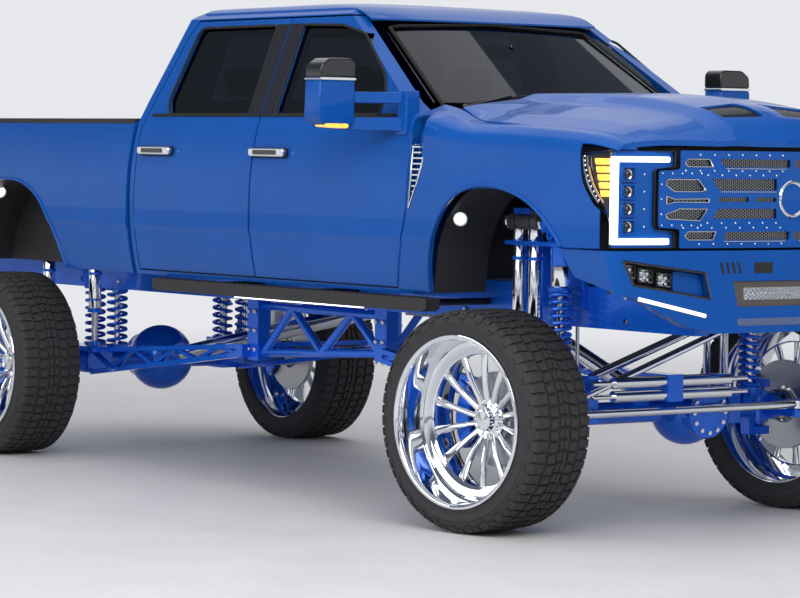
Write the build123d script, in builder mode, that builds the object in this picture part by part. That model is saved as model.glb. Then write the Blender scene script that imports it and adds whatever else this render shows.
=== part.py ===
"""Lifted crew-cab pickup truck, in millimetres.

+X points to the front, +Z up and -Y to the truck's right side. The origin lies on the ground at
the middle of the overall box. Stations along the truck, called x here, are counted from the front
axle, forward positive, so the helper planes below start there.
"""
import os
from math import cos, pi, radians, sin

from build123d import *

os.makedirs("parts", exist_ok=True)

# Overall layout
wheelbase = 4306.0
front_overhang = 985.0
rear_overhang = 1300.0
axle_front = (wheelbase + rear_overhang - front_overhang) / 2

# Wheels and tyres
tyre_radius = 506.0
tyre_width = 347.0
rim_lip_radius = 395.0
rim_barrel_radius = 372.0
rim_bead_radius = 380.0
rim_proud = 18.0
dish_depth = 150.0
step_radius = 306.0
hub_radius = 78.0
hub_cap_radius = 46.0
hub_depth = 205.0
spoke_count = 14
spoke_width = 26.0
wheel_outer_half = 1175.0
tread_depth = 14.0
lug_count = 22
lug_half = 21.0
lug_reach = 66.0

# Steering
kingpin_half = 700.0
rest_steer = 7.5
steer_arm = 250.0
tie_rod_z = 530.0

# Body heights and half widths
sill_z = 1052.0
crease_z = 1306.0
bulge_z = 1550.0
shoulder_z = 1850.0
belt_z = 1889.0
drip_z = 2388.0
roof_edge_z = 2425.0
roof_z = 2472.0
sill_half = 958.0
crease_half = 994.0
side_half = 1005.0
shoulder_half = 955.0
belt_half = 940.0
drip_half = 750.0
roof_edge_half = 680.0

# Cab stations
cab_back = -3023.0
door_front = -566.0
door_split = -1882.0
door_rear = -2978.0
door_bottom_z = 1080.0
firewall_x = -500.0
cowl_z = 1936.0
windscreen_base = (-575.0, 1949.0)
windscreen_top = (-1240.0, 2352.0)
windscreen_radius = 6500.0

# Panels
panel_gap = 8.0
seat_gap = 0.3
door_thick = 62.0
frame_thick = 104.0
skin_thick = 28.0
roof_thick = 34.0
glass_thick = 6.0
glass_inset = 14.0
pillar_foot_half = 768.0
pillar_head_half = 614.0
door_foot_half = 835.0
door_head_half = 682.0
floor_z = 1120.0

# Nose
nose_half = 1004.0
nose_sweep = 78.0
nose_corner = 70.0
lamp_inset = 20.0
grille_inset = 14.0
grille_thick = 40.0
grille_top_z = 1739.0
grille_bottom_z = 1308.0
bumper_top_z = 1300.0
bumper_bottom_z = 935.0
bumper_thick = 90.0
support_x = 760.0
support_thick = 40.0

# Cargo box
box_gap = 32.0
box_front = cab_back - box_gap
box_rear = -(wheelbase + rear_overhang - 106.0)
box_rail_z = 1862.0
box_inner_half = 850.0
box_floor_z = 1326.0
box_floor_thick = 36.0
tailgate_thick = 55.0
wheelhouse_half = 641.0
arch_shift = -24.0
liner_gap = 4.0
liner_thick = 8.0

# Chassis
rail_half = 432.0
rail_width = 76.0
rail_bottom_z = 918.0
rail_top_z = 1108.0
rail_front_x = support_x + support_thick + 70
rail_rear_x = box_rear - 15
axle_tube_radius = 52.0
axle_z = tyre_radius


def side_plane(y):
    """Plane across the truck at y, with x from the front axle and z up, its normal towards -Y."""
    return Plane(origin=(axle_front, y, 0), x_dir=(1, 0, 0), z_dir=(0, -1, 0))


def cross_plane(x):
    """Plane at station x, with y and z as its axes and its normal forward."""
    return Plane(origin=(axle_front + x, 0, 0), x_dir=(0, 1, 0), z_dir=(1, 0, 0))


def plan_plane(z):
    """Level plane at height z, with x from the front axle and y across."""
    return Plane(origin=(axle_front, 0, z), x_dir=(1, 0, 0), z_dir=(0, 0, 1))


def at(x, y, z):
    """A point given by its station x from the front axle."""
    return Vector(axle_front + x, y, z)


def slab(plane, points, amount, mode=Mode.ADD, corner=0.0, both=False):
    """A flat outline of points on a plane, its corners rounded, extruded into the open part."""
    with BuildSketch(plane) as section:
        Polygon(*points, align=None)
        if corner > 0:
            fillet(section.vertices(), corner)
    extrude(section.sketch, amount=amount, both=both, mode=mode)


def block(x0, x1, y0, y1, z0, z1, mode=Mode.ADD):
    """A box between two stations, two widths and two heights."""
    slab(plan_plane(z0), [(x0, y0), (x1, y0), (x1, y1), (x0, y1)], z1 - z0, mode)


def rod(start, end, radius, mode=Mode.ADD):
    """A straight round bar between two points."""
    along = end - start
    with BuildSketch(Plane(origin=start, z_dir=along)) as section:
        Circle(radius)
    extrude(section.sketch, amount=along.length, mode=mode)


def bar(start, end, width, height, mode=Mode.ADD):
    """A straight rectangular tube between two points, its height kept near vertical."""
    along = end - start
    side = along.cross(Vector(0, 0, 1))
    with BuildSketch(Plane(origin=start, x_dir=side, z_dir=along)) as section:
        Rectangle(width, height)
    extrude(section.sketch, amount=along.length, mode=mode)


def save(piece, name):
    """Labels a finished piece and writes its file."""
    piece.part.label = name
    export_step(piece.part, f"parts/{name}.step")


def save_pair(piece, name):
    """Writes a right-hand piece and its mirrored left-hand twin as two files."""
    save(piece, f"{name}_right")
    with BuildPart() as twin:
        mirror(piece.part, about=Plane.XZ)
    save(twin, f"{name}_left")


def cab_solid(inset):
    """The cab's outer form, moved inwards by inset: cross section, side profile and curved
    windscreen, each cutting the one before."""
    with BuildPart() as cab:
        with BuildSketch(cross_plane(cab_back - 50)) as section:
            with BuildLine():
                Line((0, sill_z), (sill_half, sill_z))
                ThreePointArc((sill_half, sill_z), (side_half, bulge_z), (shoulder_half, shoulder_z))
                Line((shoulder_half, shoulder_z), (belt_half, belt_z))
                Line((belt_half, belt_z), (drip_half, drip_z))
                Line((drip_half, drip_z), (roof_edge_half, roof_edge_z))
                ThreePointArc((roof_edge_half, roof_edge_z), (370, roof_z - 13), (0, roof_z))
                mirror(about=Plane.YZ)
            make_face()
            if inset > 0:
                offset(amount=-inset, kind=Kind.INTERSECTION)
        extrude(amount=-cab_back)
        with BuildSketch(side_plane(1100)) as profile:
            with BuildLine():
                Line((firewall_x, sill_z), (firewall_x, cowl_z))
                Line((firewall_x, cowl_z), windscreen_base)
                Line(windscreen_base, windscreen_top)
                ThreePointArc(windscreen_top, (-1430, 2418), (-1720, roof_z - 24))
                ThreePointArc((-1720, roof_z - 24), (-2270, roof_z), (-2770, roof_z - 26))
                Line((-2770, roof_z - 26), (-2835, roof_z - 70))
                Line((-2835, roof_z - 70), (-2990, 1960))
                Line((-2990, 1960), (cab_back, shoulder_z))
                Line((cab_back, shoulder_z), (cab_back, sill_z))
                Line((cab_back, sill_z), (firewall_x, sill_z))
            make_face()
            if inset > 0:
                offset(amount=-inset, kind=Kind.INTERSECTION)
        extrude(amount=2200, mode=Mode.INTERSECT)
        rise = Vector(windscreen_top[0] - windscreen_base[0], 0, windscreen_top[1] - windscreen_base[1])
        screen = Plane(origin=at(windscreen_base[0], 0, windscreen_base[1]), x_dir=(0, 1, 0), z_dir=rise)
        with BuildSketch(screen):
            with Locations((0, windscreen_radius)):
                Circle(windscreen_radius - inset)
        extrude(amount=3000, both=True, mode=Mode.INTERSECT)
    return cab.part


def nose_solid(inset):
    """Everything behind the curved front face, moved back by inset."""
    with BuildPart() as nose:
        with BuildSketch(plan_plane(bumper_bottom_z - 60)) as plan:
            with BuildLine():
                corner_x = front_overhang - nose_sweep
                ThreePointArc((corner_x, -nose_half), (front_overhang, 0), (corner_x, nose_half))
                Line((corner_x, nose_half), (-700, nose_half + 12))
                Line((-700, nose_half + 12), (-700, -nose_half - 12))
                Line((-700, -nose_half - 12), (corner_x, -nose_half))
            make_face()
            fillet(plan.vertices().sort_by(Axis.X)[-2:], nose_corner)
            if inset > 0:
                offset(amount=-inset, kind=Kind.INTERSECTION)
        extrude(amount=1300)
    return nose.part


def side_form(x0, x1, inset):
    """A length of the body's side section, moved inwards by inset."""
    with BuildPart() as form:
        with BuildSketch(cross_plane(x0)) as section:
            with BuildLine():
                Line((0, sill_z), (sill_half, sill_z))
                ThreePointArc((sill_half, sill_z), (side_half, bulge_z), (shoulder_half, shoulder_z))
                Line((shoulder_half, shoulder_z), (0, shoulder_z))
                mirror(about=Plane.YZ)
            make_face()
            if inset > 0:
                offset(amount=-inset, kind=Kind.INTERSECTION)
        extrude(amount=x1 - x0)
    return form.part


def arch_sketch(y, grow=0.0):
    """A wheel arch in side view, grown by grow: upright at the back, two arcs over the tyre."""
    front_x, rear_x, foot_z = 604, -436, sill_z - 60
    with BuildSketch(side_plane(y)) as arch:
        with BuildLine():
            Line((front_x, foot_z), (rear_x, foot_z))
            Line((rear_x, foot_z), (-402, 1240))
            ThreePointArc((-402, 1240), (-262, 1474), (20, 1568))
            ThreePointArc((20, 1568), (335, 1503), (front_x, 1290))
            Line((front_x, 1290), (front_x, foot_z))
        make_face()
        if grow > 0:
            offset(amount=grow, kind=Kind.INTERSECTION)
    return arch.sketch


def rear_arch_sketch(y, grow=0.0):
    """The rear wheel arch in side view, a wide half round flattened at the top."""
    middle, foot_z = -wheelbase + arch_shift, sill_z - 60
    with BuildSketch(side_plane(y)) as arch:
        with BuildLine():
            Line((middle + 588, foot_z), (middle - 588, foot_z))
            Line((middle - 588, foot_z), (middle - 540, 1180))
            ThreePointArc((middle - 540, 1180), (middle - 345, 1432), (middle, 1530))
            ThreePointArc((middle, 1530), (middle + 345, 1432), (middle + 540, 1180))
            Line((middle + 540, 1180), (middle + 588, foot_z))
        make_face()
        if grow > 0:
            offset(amount=grow, kind=Kind.INTERSECTION)
    return arch.sketch


def grown(points, gap):
    """An outline in side view moved outwards by gap."""
    with BuildSketch(side_plane(-500)) as section:
        Polygon(*points, align=None)
        offset(amount=gap, kind=Kind.INTERSECTION)
    return section.sketch


cab_outer = cab_solid(0)
cab_skin_inner = cab_solid(roof_thick)
cab_frame_inner = cab_solid(frame_thick)
door_inner = cab_solid(door_thick)
door_seat = cab_solid(door_thick + seat_gap)

# Door and window outlines in side view
door_top_z = drip_z - 14
front_door_outline = [
    (-684, door_bottom_z), (-608, 1300), (door_front, 1450), (door_front, 1780), (-592, 1930),
    (-905, 2195), (-1150, door_top_z), (door_split, door_top_z), (door_split, door_bottom_z),
]
rear_door_outline = [
    (door_split - panel_gap, door_bottom_z), (door_split - panel_gap, door_top_z),
    (-2745, door_top_z), (-2800, 2300), (-2936, 1930), (door_rear, 1800),
    (door_rear, door_bottom_z),
]
front_window_outline = [
    (-1770, belt_z), (-1770, 2340), (-1420, 2330), (-1210, 2285), (-935, 2082), (-880, 1985),
    (-880, belt_z),
]
rear_window_outline = [
    (-2000, belt_z), (-2000, 2340), (-2690, 2340), (-2720, 2306), (-2790, 1960), (-2740, belt_z),
]
rebate = 24.0
front_opening = [
    (-700, door_bottom_z + rebate), (-560, 1300), (-540, 1900), (-880, 2195 + 40),
    (-1130, door_top_z - rebate), (door_split + 60, door_top_z - rebate),
    (door_split + 60, door_bottom_z + rebate),
]
rear_opening = [
    (door_split, door_bottom_z + rebate), (door_split, door_top_z - rebate),
    (-2720, door_top_z - rebate), (-2772, 2290), (-2906, 1920), (door_rear + rebate, 1790),
    (door_rear + rebate, door_bottom_z + rebate),
]

# Doors: each one as thick as the whole door, with its window cut and its handle
handle_z = 1701.0
handle_length = 300.0
door_region = [
    (-1200, sill_z - 100), (-1200, drip_z), (-door_head_half, drip_z),
    (-door_foot_half, windscreen_base[1]), (-door_foot_half, sill_z - 100),
]
region_start = cab_back - 60
door_flange_half = 902.0
door_flange_z = 1122.0
door_foot_room = [
    (-door_flange_half, sill_z - 100), (-door_flange_half, door_flange_z), (0, door_flange_z),
    (0, sill_z - 100),
]
door_lip = 14.0
door_recess = 22.0
front_door_recess = [
    (door_split - 10, 1820), (door_split + door_recess, 1820),
    (door_split + door_recess, drip_z + 12), (door_split - 10, drip_z + 12),
]
rear_door_recess = [
    (door_rear - 30, 1800), (door_rear + door_recess, 1800), (-2936 + door_recess, 1930),
    (-2800 + door_recess, 2300), (-2730, drip_z + 12), (door_rear - 30, drip_z + 12),
]
door_table = (
    # name, outline, window, recess behind the upper back edge, handle's middle station
    ("front_door", front_door_outline, front_window_outline, front_door_recess, -1728),
    ("rear_door", rear_door_outline, rear_window_outline, rear_door_recess, -2778),
)
for name, outline, window, recess, handle_x in door_table:
    with BuildPart() as door_back:
        add(cab_solid(door_lip))
        slab(side_plane(-500), recess, 600, Mode.INTERSECT)
    with BuildPart() as door:
        add(cab_outer)
        add(door_inner, mode=Mode.SUBTRACT)
        slab(side_plane(-500), outline, 600, Mode.INTERSECT)
        slab(cross_plane(region_start), door_region, 3000, Mode.INTERSECT)
        slab(cross_plane(region_start), door_foot_room, 3000, Mode.SUBTRACT)
        slab(side_plane(-500), window, 600, Mode.SUBTRACT, 24)
        add(door_back.part, mode=Mode.SUBTRACT)
        grip = [(handle_x + u * handle_length / 2, handle_z + v * 17)
                for u, v in ((-1, -1), (1, -1), (1, 1), (-1, 1))]
        slab(side_plane(-(side_half - 30)), grip, 42, corner=12)
    with BuildPart() as glass:
        add(cab_solid(glass_inset))
        add(cab_solid(glass_inset + glass_thick), mode=Mode.SUBTRACT)
        slab(side_plane(-500), window, 600, Mode.INTERSECT, 24)
        slab(cross_plane(region_start), door_region, 3000, Mode.INTERSECT)
    if name == "front_door":
        front_door = door
    else:
        save_pair(door, name)
    save_pair(glass, f"{name}_glass")

# Tow mirrors: two arms from the door's corner carry a tall head
mirror_inner = 1150.0
mirror_outer = 1345.0
mirror_x = -915.0
with BuildPart() as mirror_head:
    add(front_door.part)
    slab(cross_plane(mirror_x), [(-mirror_outer, 1868), (-mirror_outer + 14, 2112),
         (-mirror_outer + 60, 2140), (-mirror_inner - 16, 2140), (-mirror_inner, 2120),
         (-mirror_inner, 1850), (-mirror_inner - 30, 1832), (-mirror_outer + 34, 1840)], 112)
    slab(side_plane(-905), [(-690, 1800), (-618, 1800), (-618, 1990), (-660, 1990)], 70)
    for arm_z, arm_height in ((1966, 46), (1842, 56)):
        bar(at(-660, -960, arm_z), at(mirror_x + 60, -mirror_inner - 20, arm_z), 40, arm_height)
save_pair(mirror_head, "front_door")

# Cab sides: sills, pillars and top rails around the door openings, and behind the fender's skin
# the pillar that carries the front door's hinges
pillar_region = [
    (-1200, sill_z), (-1200, drip_z), (-pillar_head_half, drip_z),
    (-pillar_foot_half, windscreen_base[1]), (-pillar_foot_half, sill_z),
]
with BuildPart() as door_rebate:
    extrude(grown(front_door_outline, panel_gap), amount=700)
    extrude(grown(rear_door_outline, panel_gap), amount=700)
    slab(cross_plane(region_start), [
        (-1200, sill_z - 100), (-1200, drip_z), (-door_head_half + panel_gap, drip_z),
        (-door_foot_half + panel_gap, windscreen_base[1]),
        (-door_foot_half + panel_gap, sill_z - 100)], 3000, Mode.INTERSECT)
    slab(cross_plane(region_start), [(y + seat_gap, z) for y, z in door_foot_room], 3000,
         Mode.SUBTRACT)
    add(door_seat, mode=Mode.SUBTRACT)
with BuildPart() as fender_room:
    add(cab_outer)
    add(cab_solid(skin_thick + seat_gap), mode=Mode.SUBTRACT)
    block(door_front, 0, -1200, 0, 900, 2100, Mode.INTERSECT)
with BuildPart() as cab_sides:
    add(cab_outer)
    add(cab_frame_inner, mode=Mode.SUBTRACT)
    slab(cross_plane(cab_back - 60), pillar_region, 3000, Mode.INTERSECT)
    add(door_rebate.part, mode=Mode.SUBTRACT)
    slab(side_plane(-500), front_opening, 700, Mode.SUBTRACT)
    slab(side_plane(-500), rear_opening, 700, Mode.SUBTRACT)
    add(fender_room.part, mode=Mode.SUBTRACT)
    mirror(about=Plane.XZ)
save(cab_sides, "cab_sides")

# Roof, back wall, floor and firewall, windscreen and back glass
header_z = windscreen_top[1] + 8
middle_region = [
    (-pillar_head_half, drip_z), (-pillar_foot_half, windscreen_base[1]),
    (-pillar_foot_half, sill_z), (pillar_foot_half, sill_z),
    (pillar_foot_half, windscreen_base[1]), (pillar_head_half, drip_z),
]
cab_length = 3000
with BuildPart() as cab_roof:
    add(cab_outer)
    add(cab_skin_inner, mode=Mode.SUBTRACT)
    slab(cross_plane(cab_back - 60), [
        (-1100, drip_z), (-pillar_head_half, drip_z), (-pillar_head_half - 8, header_z),
        (pillar_head_half + 8, header_z), (pillar_head_half, drip_z), (1100, drip_z),
        (1100, 2600), (-1100, 2600)], cab_length, Mode.INTERSECT)
save(cab_roof, "cab_roof")

back_window = [(-560, 1925), (560, 1925), (500, 2318), (-500, 2318)]
with BuildPart() as cab_back_wall:
    add(cab_outer)
    add(cab_skin_inner, mode=Mode.SUBTRACT)
    slab(cross_plane(cab_back - 60), middle_region, cab_length, Mode.INTERSECT)
    slab(side_plane(1000), [(cab_back - 60, floor_z), (cab_back + roof_thick, floor_z),
         (cab_back + roof_thick, 1850), (-2700, header_z), (cab_back - 60, header_z)], 2000,
         Mode.INTERSECT)
    slab(cross_plane(cab_back - 60), back_window, 400, Mode.SUBTRACT, 40)
save(cab_back_wall, "cab_back_wall")

with BuildPart() as cab_floor:
    add(cab_outer)
    add(cab_skin_inner, mode=Mode.SUBTRACT)
    slab(cross_plane(cab_back - 60), middle_region, cab_length, Mode.INTERSECT)
    block(firewall_x - roof_thick - 40, 0, -1000, 1000, floor_z, windscreen_base[1] - 6,
          Mode.INTERSECT)
    block(cab_back + roof_thick, firewall_x - roof_thick, -pillar_foot_half, pillar_foot_half,
          floor_z, sill_z + frame_thick)
save(cab_floor, "cab_floor")

with BuildPart() as back_glass:
    add(cab_solid(glass_inset))
    add(cab_solid(glass_inset + glass_thick), mode=Mode.SUBTRACT)
    slab(cross_plane(cab_back - 60), back_window, 400, Mode.INTERSECT, 40)
with BuildPart() as fixed_glass:
    add(cab_solid(glass_inset))
    add(cab_solid(glass_inset + glass_thick), mode=Mode.SUBTRACT)
    slab(cross_plane(-1500), [
        (-pillar_head_half - 6, header_z - seat_gap), (-pillar_foot_half + 2, windscreen_base[1]),
        (pillar_foot_half - 2, windscreen_base[1]), (pillar_head_half + 6, header_z - seat_gap)],
        1200, Mode.INTERSECT)
    add(back_glass.part)
save(fixed_glass, "fixed_glass")

# Seats, dashboard and steering wheel
cabin_floor_z = sill_z + frame_thick
seat_table = (
    # middle y, half width, cushion front, cushion back, back's top station
    (370, 260, -1130, -1640, -1830),
    (-370, 260, -1130, -1640, -1830),
    (0, 640, -2130, -2620, -2800),
)
with BuildPart() as seats:
    for middle, half, front_x, back_x, top_x in seat_table:
        profile = [(front_x, cabin_floor_z + 0.2), (front_x, 1480), (back_x, 1440),
                   (top_x, 1990), (top_x - 90, 1975), (back_x - 130, cabin_floor_z + 0.2)]
        slab(side_plane(middle + half), profile, 2 * half, corner=30)
        head = [(top_x - 10, 1985), (top_x - 14, 2150), (top_x - 90, 2150), (top_x - 84, 1975)]
        for shift in ((0,) if half < 300 else (-400, 400)):
            slab(side_plane(middle + shift + 120), head, 240, corner=20)
save(seats, "seats")

with BuildPart() as dashboard:
    slab(side_plane(700), [(-580, 1400), (-580, 1790), (-720, 1862), (-880, 1850), (-900, 1780),
         (-760, 1500), (-740, 1400)], 1400, corner=20)
    block(-900, -600, -120, 120, cabin_floor_z, 1560)
    block(-580, firewall_x - roof_thick, -300, 300, 1500, 1700)
save(dashboard, "dashboard")

with BuildPart() as steering_wheel:
    column = Plane(origin=at(-1010, 370, 1800), x_dir=(0, 1, 0), z_dir=(-0.92, 0, 0.38))
    with BuildSketch(column) as rim_face:
        Circle(190)
        Circle(166, mode=Mode.SUBTRACT)
        Rectangle(350, 30)
        Circle(52)
    extrude(rim_face.sketch, amount=24)
    rod(at(-1010, 370, 1800), at(-820, 370, 1722), 26)
    add(dashboard.part, mode=Mode.SUBTRACT)
save(steering_wheel, "steering_wheel")

# Fenders and hood: lofts through cross sections along the truck
fender_table = (
    # station, inner edge y, inner edge z, crown y, crown z
    (door_front + panel_gap, 792, 1940, 905, 1898),
    (-430, 800, 1922, 912, 1888),
    (-250, 832, 1864, 925, 1846),
    (150, 884, 1848, 945, 1828),
    (450, 890, 1834, 950, 1813),
    (740, 892, 1812, 952, 1790),
    (front_overhang - 40, 880, 1768, 948, 1748),
)
side_table = (
    # z, half width
    (1640, 1003), (1480, 1004), (crease_z, crease_half), (1180, 980), (sill_z, sill_half),
)
fender_shoulder_half = 983.0


def fender_section(x, edge_y, edge_z, crown_y, crown_z):
    """The fender's sheet in cross section: crown, shoulder and side, skin_thick deep."""
    shoulder = (-fender_shoulder_half, crown_z - 50)
    outer = [(-edge_y, edge_z), (-crown_y, crown_z), shoulder]
    outer += [(-half, z) for z, half in side_table]
    inner = [(-edge_y, edge_z - skin_thick), (-crown_y + 22, crown_z - skin_thick)]
    inner += [(shoulder[0] + skin_thick, shoulder[1] - 10)]
    inner += [(-half + skin_thick, z) for z, half in side_table]
    with BuildSketch(cross_plane(x)) as section:
        Polygon(*outer, *inner[::-1], align=None)
    return section.sketch


lamp_side_outline = [
    (632, 1733), (648, 1690), (792, 1480), (872, grille_bottom_z), (1000, grille_bottom_z),
    (1000, grille_top_z),
]
with BuildPart() as fender:
    loft([fender_section(*row).face() for row in fender_table], ruled=True)
    add(nose_solid(4), mode=Mode.INTERSECT)
    extrude(grown(front_door_outline, panel_gap), amount=700, mode=Mode.SUBTRACT)
    extrude(arch_sketch(-500), amount=700, mode=Mode.SUBTRACT)
    block(560, 1000, -1100, -500, 900, bumper_top_z + panel_gap, Mode.SUBTRACT)
    slab(side_plane(-500), lamp_side_outline, 600, Mode.SUBTRACT)
    add(cab_sides.part, mode=Mode.SUBTRACT)
with BuildPart() as front_fenders:
    add(fender.part)
    mirror(about=Plane.XZ)
save(front_fenders, "front_fenders")

hood_table = (
    # station, seam y, seam z, crease z, bulge foot z, bulge edge z, crown z
    (-450, 764, 1938, 1962, 1968, 1998, 2004),
    (-250, 822, 1862, 1938, 1952, 1998, 2006),
    (150, 876, 1848, 1926, 1940, 1990, 2002),
    (450, 882, 1834, 1906, 1920, 1966, 1984),
    (740, 884, 1812, 1874, 1888, 1922, 1942),
    (880, 878, 1778, 1832, 1842, 1868, 1890),
    (front_overhang, 876, grille_top_z + 10, grille_top_z + 14, grille_top_z + 16,
     grille_top_z + 22, grille_top_z + 28),
)
crease_half_y = 500.0
bulge_foot_half = 440.0
bulge_edge_half = 340.0


def hood_section(x, seam_y, seam_z, crease, foot, edge, crown):
    """The hood's panel in cross section, with its raised centre."""
    half = [(seam_y, seam_z), (crease_half_y, crease), (bulge_foot_half, foot),
            (bulge_edge_half, edge), (120, crown - 3)]
    outer = half + [(-y, z) for y, z in half[::-1]]
    inner = [(y, z - skin_thick) for y, z in outer]
    with BuildSketch(cross_plane(x)) as section:
        Polygon(*outer, *inner[::-1], align=None)
    return section.sketch


with BuildPart() as hood:
    loft([hood_section(*row).face() for row in hood_table], ruled=True)
    add(nose_solid(grille_inset), mode=Mode.INTERSECT)
save(hood, "hood")


def hood_underside(x, y):
    """Height of the hood's lower face over a point, from the table's straight runs."""
    for near, far in zip(hood_table, hood_table[1:]):
        if near[0] <= x <= far[0]:
            share = (x - near[0]) / (far[0] - near[0])
            row = [a + (b - a) * share for a, b in zip(near, far)]
    seam_y, seam_z, crease_z_here = row[1], row[2], row[3]
    across = (y - crease_half_y) / (seam_y - crease_half_y)
    return crease_z_here + (seam_z - crease_z_here) * across - skin_thick


# Front end: radiator support with the hood's rubber stops, headlamps, grille and bumper
hood_stop_y = 640.0
hood_stop_radius = 12.0
hood_stop_x = support_x + support_thick / 2
hood_stop_top = hood_underside(hood_stop_x + 0.89 * hood_stop_radius,
                               hood_stop_y + 0.46 * hood_stop_radius)
with BuildPart() as radiator_support:
    slab(cross_plane(support_x), [(-890, rail_top_z), (890, rail_top_z), (890, bumper_top_z + 12),
         (960, bumper_top_z + 12), (960, grille_top_z - 20), (-960, grille_top_z - 20),
         (-960, bumper_top_z + 12), (-890, bumper_top_z + 12)], support_thick)
    add(side_form(support_x - 10, support_x + 100, skin_thick + seat_gap), mode=Mode.INTERSECT)
    for y in (-560, 560):
        for z in (1350, 1690):
            rod(at(support_x + support_thick, y, z), at(front_overhang, y, z), 18)
    for y in (-hood_stop_y, hood_stop_y):
        rod(at(hood_stop_x, y, grille_top_z - 30), at(hood_stop_x, y, hood_stop_top - seat_gap),
            hood_stop_radius)
    add(nose_solid(grille_inset + grille_thick + seat_gap), mode=Mode.INTERSECT)
save(radiator_support, "radiator_support")

recess_start = 800.0
lamp_face = [
    (-1020, 1733), (-598, grille_top_z - 2), (-598, 1714), (-653, 1704), (-738, 1652),
    (-738, 1388), (-653, 1336), (-598, 1326), (-598, grille_bottom_z), (-1020, grille_bottom_z),
]
lamp_recess_depth = 34.0
projector_rise = 16.0
lamp_recess = [(-938, 1690), (-772, 1690), (-762, 1676), (-762, 1366), (-772, 1352), (-938, 1352)]
projector_table = (
    # middle z of each projector in the stack
    1401, 1481, 1561, 1641,
)
with BuildPart() as lamp_hollow:
    slab(cross_plane(recess_start), lamp_recess, 250)
    add(nose_solid(lamp_inset + lamp_recess_depth), mode=Mode.SUBTRACT)
with BuildPart() as projectors:
    for z in projector_table:
        slab(cross_plane(recess_start), [(-906, z - 31), (-794, z - 31), (-794, z + 31),
             (-906, z + 31)], 250, corner=8)
    add(nose_solid(lamp_inset + lamp_recess_depth - projector_rise), mode=Mode.INTERSECT)
with BuildPart() as headlamp:
    add(side_form(600, front_overhang + 10, 3))
    add(nose_solid(lamp_inset), mode=Mode.INTERSECT)
    slab(side_plane(-500), lamp_side_outline, 600, Mode.INTERSECT)
    slab(cross_plane(600), lamp_face, 400, Mode.INTERSECT)
    block(600, support_x + support_thick, -969, -500, 1200, 1800, Mode.SUBTRACT)
    add(lamp_hollow.part, mode=Mode.SUBTRACT)
    add(projectors.part)
with BuildPart() as headlamps:
    add(headlamp.part)
    mirror(about=Plane.XZ)
save(headlamps, "headlamps")

grille_outline = [
    (-592, grille_top_z), (592, grille_top_z), (592, 1706), (648, 1696), (730, 1646),
    (730, 1394), (648, 1344), (592, 1336), (592, grille_bottom_z), (-592, grille_bottom_z),
    (-592, 1336), (-648, 1344), (-730, 1394), (-730, 1646), (-648, 1696), (-592, 1706),
]
grille_lean = 0.55
boss_radius = 78.0
boss_z = 1527.0
boss_rise = 10.0
grille_slots = (
    # inner y, outer y, z, height: cut on both sides
    (20, 470, 1692, 26), (96, 470, 1597, 36), (130, 470, 1527, 22), (96, 470, 1458, 34),
    (20, 470, 1365, 34), (500, 680, 1597, 34), (500, 680, 1527, 30), (500, 680, 1458, 34),
)
with BuildPart() as grille_boss:
    rod(at(700, 0, boss_z), at(front_overhang, 0, boss_z), boss_radius)
    add(nose_solid(grille_inset - boss_rise), mode=Mode.INTERSECT)
    add(nose_solid(grille_inset + grille_thick), mode=Mode.SUBTRACT)
with BuildPart() as grille:
    add(nose_solid(grille_inset))
    add(nose_solid(grille_inset + grille_thick), mode=Mode.SUBTRACT)
    slab(cross_plane(700), grille_outline, 400, Mode.INTERSECT)
    for inner_y, outer_y, z, height in grille_slots:
        lean = grille_lean * height / 2
        for sign in (-1, 1):
            slot = [(sign * (inner_y + lean), z - height / 2), (sign * (outer_y + lean), z - height / 2),
                    (sign * (outer_y - lean), z + height / 2), (sign * (inner_y - lean), z + height / 2)]
            slab(cross_plane(700), slot, 400, Mode.SUBTRACT)
    add(grille_boss.part)
save(grille, "grille")

bumper_face = [
    (-1020, bumper_top_z), (1020, bumper_top_z), (1020, 1120), (885, 1098), (590, 965),
    (456, bumper_bottom_z), (-456, bumper_bottom_z), (-590, 965), (-885, 1098), (-1020, 1120),
]
pod_recess = [(-935, 1262), (-500, 1205), (-470, 1085), (-880, 1150)]
light_bar_recess = [(-350, 1165), (350, 1165), (320, 1052), (-320, 1052)]
recess_depth = 60.0
with BuildPart() as recesses:
    slab(cross_plane(recess_start), light_bar_recess, 250)
    slab(cross_plane(recess_start), pod_recess, 250)
    slab(cross_plane(recess_start), [(-y, z) for y, z in pod_recess], 250)
    add(nose_solid(recess_depth), mode=Mode.SUBTRACT)
with BuildPart() as front_bumper:
    add(side_form(560, front_overhang + 10, 0))
    block(560, front_overhang + 10, -sill_half, sill_half, bumper_bottom_z - 10, sill_z)
    add(nose_solid(0), mode=Mode.INTERSECT)
    add(nose_solid(bumper_thick), mode=Mode.SUBTRACT)
    slab(side_plane(1100), [(566, bumper_top_z), (652, 1179), (885, 1125), (885, 900),
         (1100, 900), (1100, bumper_top_z)], 2200, Mode.INTERSECT)
    slab(cross_plane(500), bumper_face, 600, Mode.INTERSECT)
    for y in (-rail_half, rail_half):
        block(rail_front_x, front_overhang - bumper_thick + 10, y - rail_width / 2,
              y + rail_width / 2, 960, 1080)
    add(recesses.part, mode=Mode.SUBTRACT)
save(front_bumper, "front_bumper")

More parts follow.
